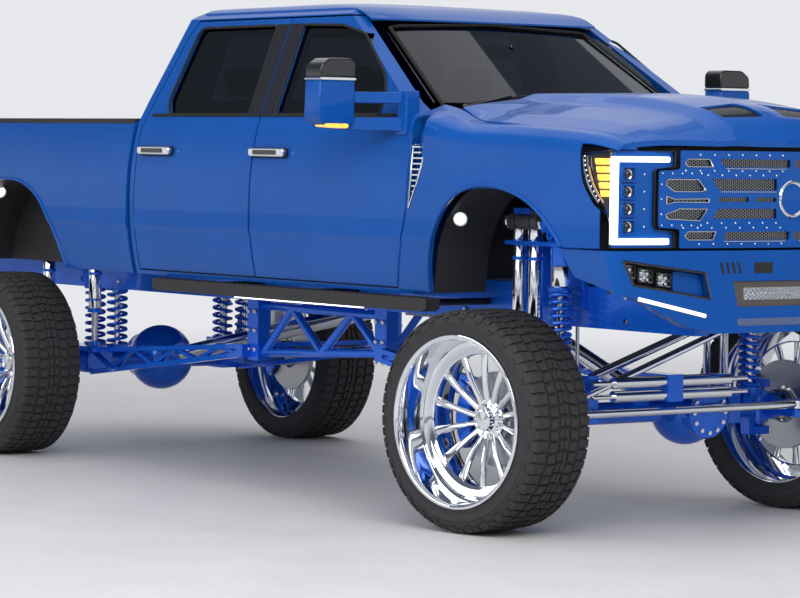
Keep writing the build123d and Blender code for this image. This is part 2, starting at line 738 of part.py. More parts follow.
# Lamps in the bumper: three light pods a side in the recesses and a bar in the middle
pod_table = (
    # middle y, middle z
    (-838, 1199), (-718, 1183), (-600, 1167),
)
with BuildPart() as lamp_fronts:
    for y, z in pod_table:
        for sign in (-1, 1):
            corners = [(sign * (y + u * 46), z + v * 30) for u, v in
                       ((-1, -1), (1, -1), (1, 1), (-1, 1))]
            slab(cross_plane(recess_start), corners, 250)
    slab(cross_plane(recess_start), [(-312, 1146), (312, 1146), (290, 1072), (-290, 1072)], 250)
with BuildPart() as bumper_lamps:
    add(nose_solid(recess_depth / 2))
    add(nose_solid(recess_depth), mode=Mode.SUBTRACT)
    add(lamp_fronts.part, mode=Mode.INTERSECT)
save(bumper_lamps, "bumper_lamps")

# Panel between the hood's back edge and the windscreen's foot
with BuildPart() as cowl_panel:
    add(cab_solid(glass_inset + glass_thick + seat_gap))
    block(firewall_x - 70, firewall_x, -740, 740, cowl_z - 40, 2000, Mode.INTERSECT)
    for piece in (cab_floor, cab_sides, dashboard, fixed_glass):
        add(piece.part, mode=Mode.SUBTRACT)
save(cowl_panel, "cowl_panel")

# Cargo box: hollow sides with square ends, floor with bulkhead and cross sills, tailgate and lamps
hinge_back = 24.0
tailgate_hinge = (box_rear + hinge_back, 1316.0)
gate_swing_room = 37.0
lamp_back = 60.0
lamp_bottom_z = 1440.0
lamp_top_z = 1800.0
with BuildPart() as box_side:
    add(side_form(box_rear, box_front, 0))
    add(side_form(box_rear + 40, box_front - 20, skin_thick), mode=Mode.SUBTRACT)
    block(box_rear, box_front, -1100, -box_inner_half, sill_z - 10, 1900, Mode.INTERSECT)
    block(box_rear + 20, box_front - 10, -box_inner_half - 22, -box_inner_half, 1290,
          shoulder_z - 10)
    extrude(rear_arch_sketch(-500), amount=700, mode=Mode.SUBTRACT)
    block(box_rear + 40, box_front - 20, -box_inner_half - 60, -box_inner_half + 1, 1000, 1290,
          Mode.SUBTRACT)
    block(box_rear - 10, box_rear + lamp_back, -1100, -box_inner_half - 22, lamp_bottom_z,
          lamp_top_z, Mode.SUBTRACT)
    extrude(rear_arch_sketch(-500, liner_gap + liner_thick + seat_gap).face(), amount=472,
            mode=Mode.SUBTRACT)
    rod(at(tailgate_hinge[0], -900, tailgate_hinge[1]), at(tailgate_hinge[0], -800,
        tailgate_hinge[1]), 8.3, Mode.SUBTRACT)
with BuildPart() as box_sides:
    add(box_side.part)
    mirror(about=Plane.XZ)
save(box_sides, "box_sides")

sill_table = (
    # station of each cross sill under the cargo floor
    -3200, -3640, -4980, -5420,
)
with BuildPart() as box_floor:
    block(tailgate_hinge[0] + gate_swing_room, box_front, -box_inner_half + seat_gap,
          box_inner_half - seat_gap, box_floor_z - box_floor_thick, box_floor_z)
    block(box_front - 28, box_front, -box_inner_half + seat_gap, box_inner_half - seat_gap,
          box_floor_z, shoulder_z - 10)
    for x in sill_table:
        block(x - 30, x + 30, -600, 600, rail_top_z, box_floor_z - box_floor_thick)
    for y in (-wheelhouse_half, box_inner_half):
        extrude(rear_arch_sketch(y, liner_gap + liner_thick + seat_gap),
                amount=box_inner_half - wheelhouse_half, mode=Mode.SUBTRACT)
save(box_floor, "box_floor")

with BuildPart() as tailgate:
    block(box_rear, box_rear + tailgate_thick, -845, 845, tailgate_hinge[1] + 6, shoulder_z)
    for sign in (-1, 1):
        slab(side_plane(sign * 835 + 10), [(box_rear + 12, tailgate_hinge[1] - 12),
             (box_rear + 36, tailgate_hinge[1] - 12), (box_rear + 36, tailgate_hinge[1] + 10),
             (box_rear + 12, tailgate_hinge[1] + 10)], 20)
        rod(at(tailgate_hinge[0], sign * 830, tailgate_hinge[1]),
            at(tailgate_hinge[0], sign * 866, tailgate_hinge[1]), 8)
    block(box_rear + tailgate_thick, box_rear + tailgate_thick + 4, -700, 700,
          tailgate_hinge[1] + 60, shoulder_z - 60)
save(tailgate, "tailgate")

with BuildPart() as tail_lamp:
    add(side_form(box_rear, box_rear + lamp_back - seat_gap, 2))
    block(box_rear, box_rear + lamp_back - seat_gap, -1100, -box_inner_half - 22 - seat_gap,
          lamp_bottom_z + seat_gap, lamp_top_z - seat_gap, Mode.INTERSECT)
with BuildPart() as tail_lamps:
    add(tail_lamp.part)
    mirror(about=Plane.XZ)
save(tail_lamps, "tail_lamps")

# Wheel liners: arched sheets inside the wheel openings, the rear ones closed towards the cargo box
with BuildPart() as rear_sheet:
    extrude(rear_arch_sketch(-wheelhouse_half, liner_gap + liner_thick), amount=330)
    extrude(rear_arch_sketch(-wheelhouse_half - 8, liner_gap), amount=330, mode=Mode.SUBTRACT)
    block(box_rear, box_front, -1100, -500, sill_z + 8, 1700, Mode.INTERSECT)
with BuildPart() as liner:
    extrude(arch_sketch(-640, liner_gap + liner_thick), amount=300)
    extrude(arch_sketch(-640, liner_gap), amount=300, mode=Mode.SUBTRACT)
    block(-700, 1000, -1100, -500, sill_z + 8, 1700, Mode.INTERSECT)
    block(0, 1000, -1100, -500, 900, bumper_top_z + 12, Mode.SUBTRACT)
    add(rear_sheet.part)
with BuildPart() as wheel_liners:
    add(liner.part)
    mirror(about=Plane.XZ)
    for piece in (front_fenders, box_sides, box_floor, cab_sides, radiator_support):
        add(piece.part, mode=Mode.SUBTRACT)
save(wheel_liners, "wheel_liners")

# Frame: two rails, cross-members, body pucks, shock towers and link hangers
crossmember_table = (
    # station, height
    (-5440, 1048), (-4560, 1040), (-3420, 1020), (-2650, 1000), (-1480, 980), (560, 990),
)
puck_table = (-2860, -1960, -1050)
hanger_table = (
    # middle station, bottom z
    (-2650, 600), (-1500, 660),
)
shock_half = 600.0
front_shock_half = 585.0
front_tower_z = 1290.0
rear_spring_table = (
    # station of each rear spring, both under the rails
    -4323, -4085,
)
rear_shock_table = (-4560, -4050)
with BuildPart() as frame:
    for sign in (-1, 1):
        y0, y1 = sorted((sign * (rail_half - rail_width / 2), sign * (rail_half + rail_width / 2)))
        block(rail_rear_x, rail_front_x, y0, y1, rail_bottom_z, rail_top_z)
        for x in puck_table:
            block(x - 40, x + 40, y0, y1, rail_top_z, floor_z)
        block(support_x, support_x + support_thick, y0, y1, rail_bottom_z, rail_top_z)
        for x, bottom_z in hanger_table:
            block(x - 50, x + 50, y0, y1, bottom_z, rail_bottom_z)
        tower_y = sorted((sign * (rail_half + rail_width / 2), sign * (front_shock_half + 55)))
        block(-290, 130, tower_y[0], tower_y[1], front_tower_z, front_tower_z + 20)
        leg_y = sorted((sign * (rail_half + rail_width / 2), sign * (rail_half + 70)))
        block(-290, 130, leg_y[0], leg_y[1], 1000, front_tower_z)
        for x in rear_shock_table:
            rear_y = sorted((sign * (rail_half + rail_width / 2), sign * (shock_half + 36)))
            block(x - 40, x + 40, rear_y[0], rear_y[1], rail_top_z - 40, rail_top_z)
    for x, z in crossmember_table:
        rod(at(x, -rail_half + 20, z), at(x, rail_half - 20, z), 44)
save(frame, "frame")

# Suspension brackets and axles
link_half = 500.0
perch_z = 566.0
diff_y = 220.0
diff_radius = 165.0
yoke_thick = 40.0
kingpin_radius = 18.0
pin_play = 0.1
knuckle_gap = 5.0
yoke_low_z = 372.0
yoke_high_z = 640.0
with BuildPart() as front_axle:
    rod(at(0, -640, axle_z), at(0, 640, axle_z), axle_tube_radius)
    with Locations(at(20, diff_y, axle_z)):
        Sphere(diff_radius)
    rod(at(-190, diff_y, axle_z + 10), at(0, diff_y, axle_z + 10), 62)
    rod(at(20, diff_y, axle_z), at(20 + diff_radius + 8, diff_y, axle_z), 120)
    for sign in (-1, 1):
        inner, outer = sorted((sign * 625, sign * 662))
        block(-30, 30, inner, outer, yoke_low_z, yoke_high_z)
        ear_y = sorted((sign * 650, sign * (kingpin_half + 42)))
        for z in (yoke_low_z, yoke_high_z - yoke_thick):
            block(-46, 46, ear_y[0], ear_y[1], z, z + yoke_thick)
        rod(at(0, sign * kingpin_half, yoke_low_z - 10), at(0, sign * kingpin_half,
            yoke_high_z + 10), kingpin_radius + pin_play, Mode.SUBTRACT)
        perch_y = sorted((sign * 560, sign * 616))
        block(-278, 114, perch_y[0], perch_y[1], perch_z, perch_z + 30)
        block(-60, 60, perch_y[0], perch_y[1], axle_z, perch_z + 10)
        link_y = sorted((sign * (link_half - 45), sign * (link_half + 30)))
        block(-70, 70, link_y[0], link_y[1], axle_z - 70, axle_z + 70)
    block(110, 190, -515, -455, axle_z - 30, 700)
    block(0, 120, -515, -455, axle_z - 30, axle_z + 60)
    block(-30, 40, -112, -20, axle_z, 700)
    block(30, 282, -112, -20, 574, 700)
save(front_axle, "front_axle")

rear_diff_radius = 185.0
spindle_radius = 30.0
wheel_inner_half = wheel_outer_half - tyre_width
rear_flange_half = wheel_inner_half - 13.0
spindle_half = wheel_outer_half - hub_depth - 27.0
with BuildPart() as rear_axle:
    rod(at(-wheelbase, -rear_flange_half, axle_z), at(-wheelbase, rear_flange_half, axle_z), 62)
    rod(at(-wheelbase, -spindle_half, axle_z), at(-wheelbase, spindle_half, axle_z),
        spindle_radius)
    with Locations(at(-wheelbase, 0, axle_z)):
        Sphere(rear_diff_radius)
    rod(at(-wheelbase, 0, axle_z + 10), at(-wheelbase + 215, 0, axle_z + 30), 66)
    rod(at(-wheelbase - rear_diff_radius - 6, 0, axle_z), at(-wheelbase, 0, axle_z), 130)
    for sign in (-1, 1):
        perch_y = sorted((sign * 370, sign * 530))
        block(-wheelbase - 80, rear_spring_table[1] + 66, perch_y[0], perch_y[1], perch_z,
              perch_z + 30)
        block(-wheelbase - 70, -wheelbase + 70, perch_y[0], perch_y[1], axle_z - 70, perch_z + 10)
        arm_y = sorted((sign * 500, sign * (shock_half + 36)))
        block(rear_shock_table[0] - 40, rear_shock_table[1] + 40, arm_y[0], arm_y[1],
              perch_z, perch_z + 30)
save(rear_axle, "rear_axle")

# Ladder arms from the axles to the frame's hangers, with diagonal webs
arm_table = (
    # start station, start z, end station, end z, depth at the start, depth at the end
    (-wheelbase + 76, 500, -2706, 650, 150, 70),
    (-76, 496, -1446, 700, 130, 70),
)
web_count = 7
with BuildPart() as ladder_arms:
    for x0, z0, x1, z1, depth0, depth1 in arm_table:
        for sign in (-1, 1):
            inner = link_half - 20 if sign > 0 else -link_half - 20
            slab(side_plane(inner + 40), [(x0, z0 + depth0 / 2), (x1, z1 + depth1 / 2),
                 (x1, z1 + depth1 / 2 - 26), (x0, z0 + depth0 / 2 - 26)], 40)
            slab(side_plane(inner + 40), [(x0, z0 - depth0 / 2 + 26), (x1, z1 - depth1 / 2 + 26),
                 (x1, z1 - depth1 / 2), (x0, z0 - depth0 / 2)], 40)
            for index in range(web_count):
                t0 = index / web_count
                t1 = (index + 1) / web_count
                top = index % 2 == 0
                ends = []
                for t, upper in ((t0, top), (t1, not top)):
                    middle_z = z0 + (z1 - z0) * t
                    depth = depth0 + (depth1 - depth0) * t - 26
                    ends.append((x0 + (x1 - x0) * t, middle_z + (depth / 2 if upper else -depth / 2)))
                bar(at(ends[0][0], inner + 20, ends[0][1]), at(ends[1][0], inner + 20, ends[1][1]),
                    26, 20)
            foot = sorted((sign * (rail_half + rail_width / 2), sign * (link_half + 20)))
            block(x1 - 30, x1 + 30, foot[0], foot[1], z1 - 35, z1 + 35)
    for piece in (frame, front_axle, rear_axle):
        add(piece.part, mode=Mode.SUBTRACT)
save(ladder_arms, "ladder_arms")

# Lower truss under the middle of the frame
truss_table = (
    # start station, start z, end station, end z
    (-2600, 640, -1550, 700), (-2600, 890, -1550, 890), (-2600, 640, -2330, 890),
    (-2330, 890, -2060, 672), (-2060, 672, -1790, 890), (-1790, 890, -1550, 700),
)
with BuildPart() as centre_truss:
    for y in (-rail_half, rail_half):
        for x0, z0, x1, z1 in truss_table:
            rod(at(x0, y, z0), at(x1, y, z1), 22)
    for x, z in ((-2330, 656), (-1790, 686)):
        rod(at(x, -rail_half, z), at(x, rail_half, z), 22)
    add(frame.part, mode=Mode.SUBTRACT)
save(centre_truss, "centre_truss")

# Shocks and springs
shock_table = (
    # station, half width, lower z, upper z, body radius
    (-240, front_shock_half, perch_z + 30, front_tower_z, 34),
    (-120, front_shock_half, perch_z + 30, front_tower_z, 34),
    (rear_shock_table[0], shock_half, perch_z + 30, rail_top_z - 40, 34),
    (rear_shock_table[1], shock_half, perch_z + 30, rail_top_z - 40, 34),
)
spring_table = (
    # station, half width, lower z, upper z, coil radius
    (66, front_shock_half, perch_z + 30, front_tower_z, 45),
    (rear_spring_table[0], rail_half, perch_z + 30, rail_bottom_z, 58),
    (rear_spring_table[1], rail_half, perch_z + 30, rail_bottom_z, 58),
)
with BuildPart() as shocks:
    for x, half, z0, z1, radius in shock_table:
        for y in (-half, half):
            waist = z0 + 0.42 * (z1 - z0)
            rod(at(x, y, z0), at(x, y, waist), radius * 0.5)
            rod(at(x, y, waist), at(x, y, z1), radius)
    for y in (-front_shock_half, front_shock_half):
        for x in (-240, -120):
            rod(at(x, y, front_tower_z + 20), at(x, y, front_tower_z + 130), 38)
save(shocks, "shocks")
with BuildPart() as springs:
    for x, half, z0, z1, radius in spring_table:
        for y in (-half, half):
            rod(at(x, y, z0), at(x, y, z1), radius)
save(springs, "springs")

# Transfer case and drive shafts
case_start = -1700.0
case_end = -1330.0
with BuildPart() as transfer_case:
    block(case_start, case_end, -170, 260, 880, 1070)
    rod(at(case_start - 60, 0, 960), at(case_start, 0, 960), 70)
    rod(at(case_end, 190, 930), at(case_end + 60, 190, 930), 60)
    add(frame.part, mode=Mode.SUBTRACT)
    block(case_end + 20, -350, -110, 110, 960, 1112)
save(transfer_case, "transfer_case")
with BuildPart() as drive_shafts:
    rod(at(case_end + 60, 190, 930), at(-190, diff_y, axle_z + 12), 38)
    rod(at(case_start - 60, 0, 960), at(-wheelbase + 215, 0, axle_z + 30), 45)
    for piece in (transfer_case, front_axle, rear_axle, frame):
        add(piece.part, mode=Mode.SUBTRACT)
save(drive_shafts, "drive_shafts")

# Engine block on its two lugs
with BuildPart() as engine_block:
    block(-350, 450, -280, 280, 1150, 1750)
    for sign in (-1, 1):
        lug_y = sorted((sign * 270, sign * rail_half))
        block(0, 120, lug_y[0], lug_y[1], rail_top_z, 1190)
    block(-410, -340, -110, 110, 1112, 1300)
    add(transfer_case.part, mode=Mode.SUBTRACT)
    add(cab_floor.part, mode=Mode.SUBTRACT)
save(engine_block, "engine_block")

# Track bar, drag link and limit rods, and the four steering dampers in front of the axle
link_table = (
    # start station, start y, start z, end station, end y, end z, radius
    (150, -470, 690, 150, 394, 985, 21),
    (235, -600, 602, 235, 394, 950, 18),
    (40, -462, axle_z + 70, 40, -462, rail_bottom_z, 9),
    (40, 462, axle_z + 70, 40, 462, rail_bottom_z, 9),
)
with BuildPart() as steering_links:
    for x0, y0, z0, x1, y1, z1, radius in link_table:
        rod(at(x0, y0, z0), at(x1, y1 + (0 if x0 < 100 else 30), z1), radius)
    with Locations(at(235, -600, 602)):
        Sphere(30)
    for piece in (frame, front_axle):
        add(piece.part, mode=Mode.SUBTRACT)
save(steering_links, "steering_links")

damper_x = 250.0
with BuildPart() as dampers:
    for z in (606, 668):
        rod(at(damper_x, -420, z), at(damper_x, -112, z), 27)
        rod(at(damper_x, -540, z), at(damper_x, -420, z), 11)
        rod(at(damper_x, -20, z), at(damper_x, 290, z), 27)
        rod(at(damper_x, 290, z), at(damper_x, 400, z), 11)
    for piece in (steering_links, front_axle):
        add(piece.part, mode=Mode.SUBTRACT)
save(dampers, "steering_dampers")

# Running boards on three brackets a side, rear bumper and tow receiver
board_table = (-2560, -1700, -620)
with BuildPart() as running_boards:
    for sign in (-1, 1):
        board_y = sorted((sign * 930, sign * 1010))
        profile_y = board_y[1]
        slab(side_plane(profile_y), [(-2790, 990), (-2760, 975), (-430, 975), (-400, 990),
             (-400, 1036), (-2790, 1036)], 80)
        for x in board_table:
            rod(at(x, sign * (rail_half + rail_width / 2), 1006), at(x, sign * 935, 1006), 17)
save(running_boards, "running_boards")

bumper_rear_x = -(wheelbase + rear_overhang)
with BuildPart() as rear_bumper:
    slab(plan_plane(1070), [(bumper_rear_x, -880), (bumper_rear_x, 880),
         (bumper_rear_x + 40, 990), (bumper_rear_x + 92, 1000), (bumper_rear_x + 92, -1000),
         (bumper_rear_x + 40, -990)], 170)
    slab(plan_plane(1069), [(bumper_rear_x + 30, -860), (bumper_rear_x + 30, 860),
         (bumper_rear_x + 100, 960), (bumper_rear_x + 100, -960)], 150, Mode.SUBTRACT)
    for sign in (-1, 1):
        arm_y = sorted((sign * (rail_half - 30), sign * (rail_half + 30)))
        block(bumper_rear_x + 20, rail_rear_x, arm_y[0], arm_y[1], 1072, rail_top_z)
    add(frame.part, mode=Mode.SUBTRACT)
save(rear_bumper, "rear_bumper")

receiver_z = 960.0
receiver_outer = 76.0
receiver_inner = 63.5
receiver_pin_x = bumper_rear_x + 60
receiver_pin_radius = 8.0
with BuildPart() as hitch_receiver:
    block(bumper_rear_x + 20, -5300, -receiver_outer / 2, receiver_outer / 2,
          receiver_z - receiver_outer / 2, receiver_z + receiver_outer / 2)
    rod(at(-5400, -rail_half + rail_width / 2, receiver_z),
        at(-5400, rail_half - rail_width / 2, receiver_z), 34)
    block(bumper_rear_x, -5450, -receiver_inner / 2, receiver_inner / 2,
          receiver_z - receiver_inner / 2, receiver_z + receiver_inner / 2, Mode.SUBTRACT)
    rod(at(receiver_pin_x, -60, receiver_z), at(receiver_pin_x, 60, receiver_z),
        receiver_pin_radius, Mode.SUBTRACT)
save(hitch_receiver, "hitch_receiver")

# Steering knuckles, drawn straight ahead and then turned to the rest angle
knuckle_low = yoke_low_z + yoke_thick + knuckle_gap
knuckle_high = yoke_high_z - yoke_thick - knuckle_gap
arm_low = 470.0
arm_high = 506.0
eye_radius = 28.0
pin_radius = 12.0
barrel_radius = 32.0
with BuildPart() as straight_knuckle:
    rod(at(0, -kingpin_half, knuckle_low), at(0, -kingpin_half, knuckle_high), barrel_radius)
    rod(at(0, -kingpin_half, yoke_low_z + 2), at(0, -kingpin_half, yoke_high_z - 2),
        kingpin_radius)
    block(-barrel_radius, barrel_radius, -kingpin_half - 48, -kingpin_half, knuckle_low + 15,
          knuckle_high - 15)
    rod(at(0, -kingpin_half - 44, axle_z), at(0, -wheel_inner_half + 15, axle_z), 70)
    rod(at(0, -kingpin_half - 44, axle_z), at(0, -spindle_half, axle_z), spindle_radius)
    slab(plan_plane(arm_low), [(0, -kingpin_half + 5), (60, -kingpin_half - 2),
         (steer_arm, -kingpin_half + 18), (steer_arm, -kingpin_half - 18),
         (60, -kingpin_half - 40), (0, -kingpin_half - 42)], arm_high - arm_low)
    rod(at(steer_arm, -kingpin_half, arm_low), at(steer_arm, -kingpin_half, arm_high),
        eye_radius)
    rod(at(steer_arm, -kingpin_half, arm_high), at(steer_arm, -kingpin_half, arm_high + 50),
        pin_radius)
right_kingpin = Axis(at(0, -kingpin_half, 0), (0, 0, 1))
left_kingpin = Axis(at(0, kingpin_half, 0), (0, 0, 1))


def steered(shape, left):
    """A right-hand front piece drawn straight ahead, put on its side and turned to rest."""
    with BuildPart() as turned:
        if left:
            add(shape.mirror(Plane.XZ).rotate(left_kingpin, rest_steer))
        else:
            add(shape.rotate(right_kingpin, rest_steer))
    return turned


save(steered(straight_knuckle.part, False), "knuckle_right")
save(steered(straight_knuckle.part, True), "knuckle_left")

eye_x = steer_arm * cos(radians(rest_steer))
eye_shift = steer_arm * sin(radians(rest_steer))
with BuildPart() as tie_rod:
    rod(at(eye_x, -kingpin_half + eye_shift, tie_rod_z),
        at(eye_x, kingpin_half + eye_shift, tie_rod_z), 19)
    for y in (-kingpin_half, kingpin_half):
        rod(at(eye_x, y + eye_shift, tie_rod_z - 18), at(eye_x, y + eye_shift, tie_rod_z + 18),
            eye_radius)
    for y in (-kingpin_half, kingpin_half):
        rod(at(eye_x, y + eye_shift, tie_rod_z - 30), at(eye_x, y + eye_shift, tie_rod_z + 30),
            pin_radius + pin_play, Mode.SUBTRACT)
save(tie_rod, "tie_rod")

# Wheels and tyres: half sections turned about the axle, w counted outwards from the shoulder
rim_section = [
    (rim_lip_radius, rim_proud), (rim_lip_radius, 6), (rim_bead_radius, 6),
    (rim_bead_radius, 18 - tyre_width), (rim_lip_radius, 18 - tyre_width),
    (rim_lip_radius, 6 - tyre_width), (rim_barrel_radius, 6 - tyre_width),
    (rim_barrel_radius, -dish_depth - 34), (step_radius, -dish_depth - 34),
    (step_radius, -dish_depth), (rim_barrel_radius, -dish_depth),
    (rim_barrel_radius, rim_proud),
]
bore_end = spindle_half - wheel_outer_half + 3
hub_section = [
    (spindle_radius + pin_play, -tyre_width - 3), (175, -tyre_width - 3), (175, -tyre_width + 19),
    (60, -tyre_width + 19), (60, bore_end - 6), (hub_radius, bore_end - 2),
    (hub_radius, -hub_depth + 12), (hub_cap_radius, -hub_depth + 14),
    (hub_cap_radius, -dish_depth - 10), (0, -dish_depth - 10), (0, bore_end),
    (spindle_radius + pin_play, bore_end),
]
bead_outer = (rim_bead_radius + seat_gap, 6 - seat_gap)
bead_inner = (rim_bead_radius + seat_gap, 18 + seat_gap - tyre_width)
flange_radius = rim_lip_radius + 1.5
shoulder_radius = tyre_radius - tread_depth
tyre_half = [
    # radius and w over the wall and the shoulder to the edge of the tread's middle band
    (430, 8), (tyre_radius - 36, 4), (shoulder_radius - 3, -8), (shoulder_radius, -20),
    (shoulder_radius, -10 - lug_reach), (tyre_radius, -16 - lug_reach),
]
tyre_section = [bead_outer, (flange_radius, bead_outer[1])] + tyre_half
tyre_section += [(radius, -tyre_width - w) for radius, w in tyre_half[::-1]]
tyre_section += [(flange_radius, bead_inner[1]), bead_inner]
lug_section = [
    # radius and w of one shoulder lug, its foot sunk in the carcass
    (tyre_radius - 34, 0), (tyre_radius - 26, 3.5), (tyre_radius - 12, -3), (tyre_radius - 0.6, -14),
    (tyre_radius - 0.6, -lug_reach), (tyre_radius - 34, -lug_reach),
]


def turned_ring(section):
    """A closed half section of radius and w, turned a full circle about the right front hub."""
    half = Plane(origin=at(0, 0, axle_z), x_dir=(0, 0, 1), z_dir=(1, 0, 0))
    with BuildSketch(half) as sketch:
        Polygon(*[(radius, wheel_outer_half + w) for radius, w in section], align=None)
    revolve(sketch.sketch, axis=Axis(at(0, 0, axle_z), (0, 1, 0)))


with BuildPart() as straight_wheel:
    turned_ring(rim_section)
    turned_ring(hub_section)
    for index in range(spoke_count):
        angle = radians(360 / spoke_count * index)
        ends = []
        for radius, w in ((hub_radius - 8, -hub_depth + 2), (step_radius + 10, -dish_depth - 17)):
            ends.append(at(radius * sin(angle), -wheel_outer_half - w,
                           axle_z + radius * cos(angle)))
        along = ends[1] - ends[0]
        with BuildSketch(Plane(origin=ends[0], x_dir=(cos(angle), 0, -sin(angle)),
                               z_dir=along)) as spoke:
            Rectangle(spoke_width, 24)
        extrude(spoke.sketch, amount=along.length)


def tread_lug(angle, outer):
    """One shoulder lug at an angle round the right front tyre, on its outer or inner shoulder."""
    radial = Vector(sin(angle), 0, cos(angle))
    half = Plane(origin=at(0, 0, axle_z), x_dir=radial, z_dir=(cos(angle), 0, -sin(angle)))
    with BuildSketch(half) as sketch:
        Polygon(*[(radius, wheel_outer_half + (w if outer else -tyre_width - w))
                  for radius, w in lug_section], align=None)
    extrude(sketch.sketch, amount=lug_half, both=True)


with BuildPart() as straight_tyre:
    turned_ring(tyre_section)
    for index in range(lug_count):
        turn = 2 * pi / lug_count
        tread_lug(index * turn, True)
        tread_lug((index + 0.5) * turn, False)
corner_table = (
    # name, on the left side, at the front
    ("front_right", False, True), ("front_left", True, True),
    ("rear_right", False, False), ("rear_left", True, False),
)
for corner, on_left, at_front in corner_table:
    for kind, straight in (("wheel", straight_wheel), ("tyre", straight_tyre)):
        if at_front:
            placed = steered(straight.part, on_left)
        else:
            with BuildPart() as placed:
                shape = straight.part.mirror(Plane.XZ) if on_left else straight.part
                add(shape.moved(Location((-wheelbase, 0, 0))))
        save(placed, f"{kind}_{corner}")
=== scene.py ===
"""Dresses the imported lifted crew-cab pickup truck for rendering.

Tables and sizes are in millimetres with x counted from the front axle, forward positive, y to the
truck's left and z up from the ground. Every finished mesh is in metres in the frame's own axes.
"""
import logging
from collections.abc import Callable
from dataclasses import dataclass, field
from enum import Enum
from math import cos, pi, radians, sin

import bmesh
import bpy
import numpy as np
from mathutils import Matrix, Vector


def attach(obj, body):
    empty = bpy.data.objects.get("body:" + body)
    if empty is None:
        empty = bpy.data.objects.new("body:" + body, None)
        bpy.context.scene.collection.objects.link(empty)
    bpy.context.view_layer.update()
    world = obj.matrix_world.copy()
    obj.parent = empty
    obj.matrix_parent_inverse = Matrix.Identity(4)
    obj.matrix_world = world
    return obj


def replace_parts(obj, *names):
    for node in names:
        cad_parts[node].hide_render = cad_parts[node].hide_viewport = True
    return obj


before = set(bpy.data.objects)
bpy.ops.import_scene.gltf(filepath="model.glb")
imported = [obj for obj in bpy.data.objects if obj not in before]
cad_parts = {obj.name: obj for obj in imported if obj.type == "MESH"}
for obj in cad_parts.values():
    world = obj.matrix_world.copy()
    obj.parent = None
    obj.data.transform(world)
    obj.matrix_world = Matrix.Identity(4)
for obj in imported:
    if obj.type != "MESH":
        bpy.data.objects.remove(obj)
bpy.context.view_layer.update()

log = logging.getLogger("truck")
Points = np.ndarray
Colour = tuple[float, float, float]
Surface = Callable[[Points, Points], Points]

METRES = 0.001
FRONT_AXLE = 2310.5
WHEELBASE = 4306.0
AXLE_Z = 506.0
REST_STEER = 7.5
KINGPIN = 700.0
CHASSIS = "chassis"
# the side's arc: its centre's y and height, its radius
SIDE_ARC = (547.93, 1445.34, 1556.46)
SHOULDER = (955.0, 1850.0)
BODY_LINE = 1306.0
# the nose: station of its face, how far that falls back at its half width, corner radius
NOSE_X, NOSE_BOW, NOSE_HALF, NOSE_CORNER = 985.0, 78.0, 1004.0, 70.0
# the windscreen: station and height of its foot, its run back and up for each unit of length
SCREEN_FOOT, SCREEN_RUN = (-575.0, 1949.0), (0.8552, 0.5183)
COAT_ROUGHNESS = 0.02
REFRACTION = 1.45
BROAD_CELLS = 2.3
# the six sides of a block whose corners are numbered round the bottom, then round the top
CELL_SIDES = ((0, 1, 2, 3), (7, 6, 5, 4), (0, 4, 5, 1), (1, 5, 6, 2), (2, 6, 7, 3), (3, 7, 4, 0))


class Pattern(Enum):
    """The procedural surface detail of a finish."""

    FLAKE = "metal flakes under lacquer"
    POLISH = "faint polishing haze"
    BRUSHED = "fine parallel scratches"
    GRAIN = "moulded grain"
    RUBBER = "dusty rubber"
    LEATHER = "leather grain"
    CAST = "rough casting"
    LED = "rows of small diodes"
    FLOOR = "smooth swept floor"


CELLULAR = (Pattern.FLAKE, Pattern.LEATHER, Pattern.LED, Pattern.GRAIN)


class Run(Enum):
    """The axis that a prism runs along; its outline lies across the other two."""

    X = (2, 0, 1)
    Y = (0, 2, 1)
    Z = (0, 1, 2)

    def place(self, u: Points, v: Points, depth: float) -> Points:
        """Points from the outline's two coordinates and a depth along the axis."""
        return np.stack([(u, v, u * 0 + depth)[i] for i in self.value], -1)


def fill_sockets(tree: bpy.types.NodeTree, node: bpy.types.Node, inputs: dict) -> None:
    """Sets or links a node's inputs.

    Args:
        tree: the node tree of a material or world.
        node: the node.
        inputs: a value, or another node's socket, for each input by name or number.
    """
    for key, value in inputs.items():
        if isinstance(value, bpy.types.NodeSocket):
            tree.links.new(value, node.inputs[key])
        else:
            node.inputs[key].default_value = value


def add_node(tree: bpy.types.NodeTree, kind: str, inputs: dict | None = None,
             **settings: str) -> bpy.types.Node:
    """Adds a shader node.

    Args:
        tree: the node tree of a material or world.
        kind: the node's type, without ShaderNode in front.
        inputs: as for fill_sockets.
        settings: the node's own options.

    Returns:
        The node.
    """
    node = tree.nodes.new(f"ShaderNode{kind}")
    for name, value in settings.items():
        setattr(node, name, value)
    fill_sockets(tree, node, inputs or {})
    return node


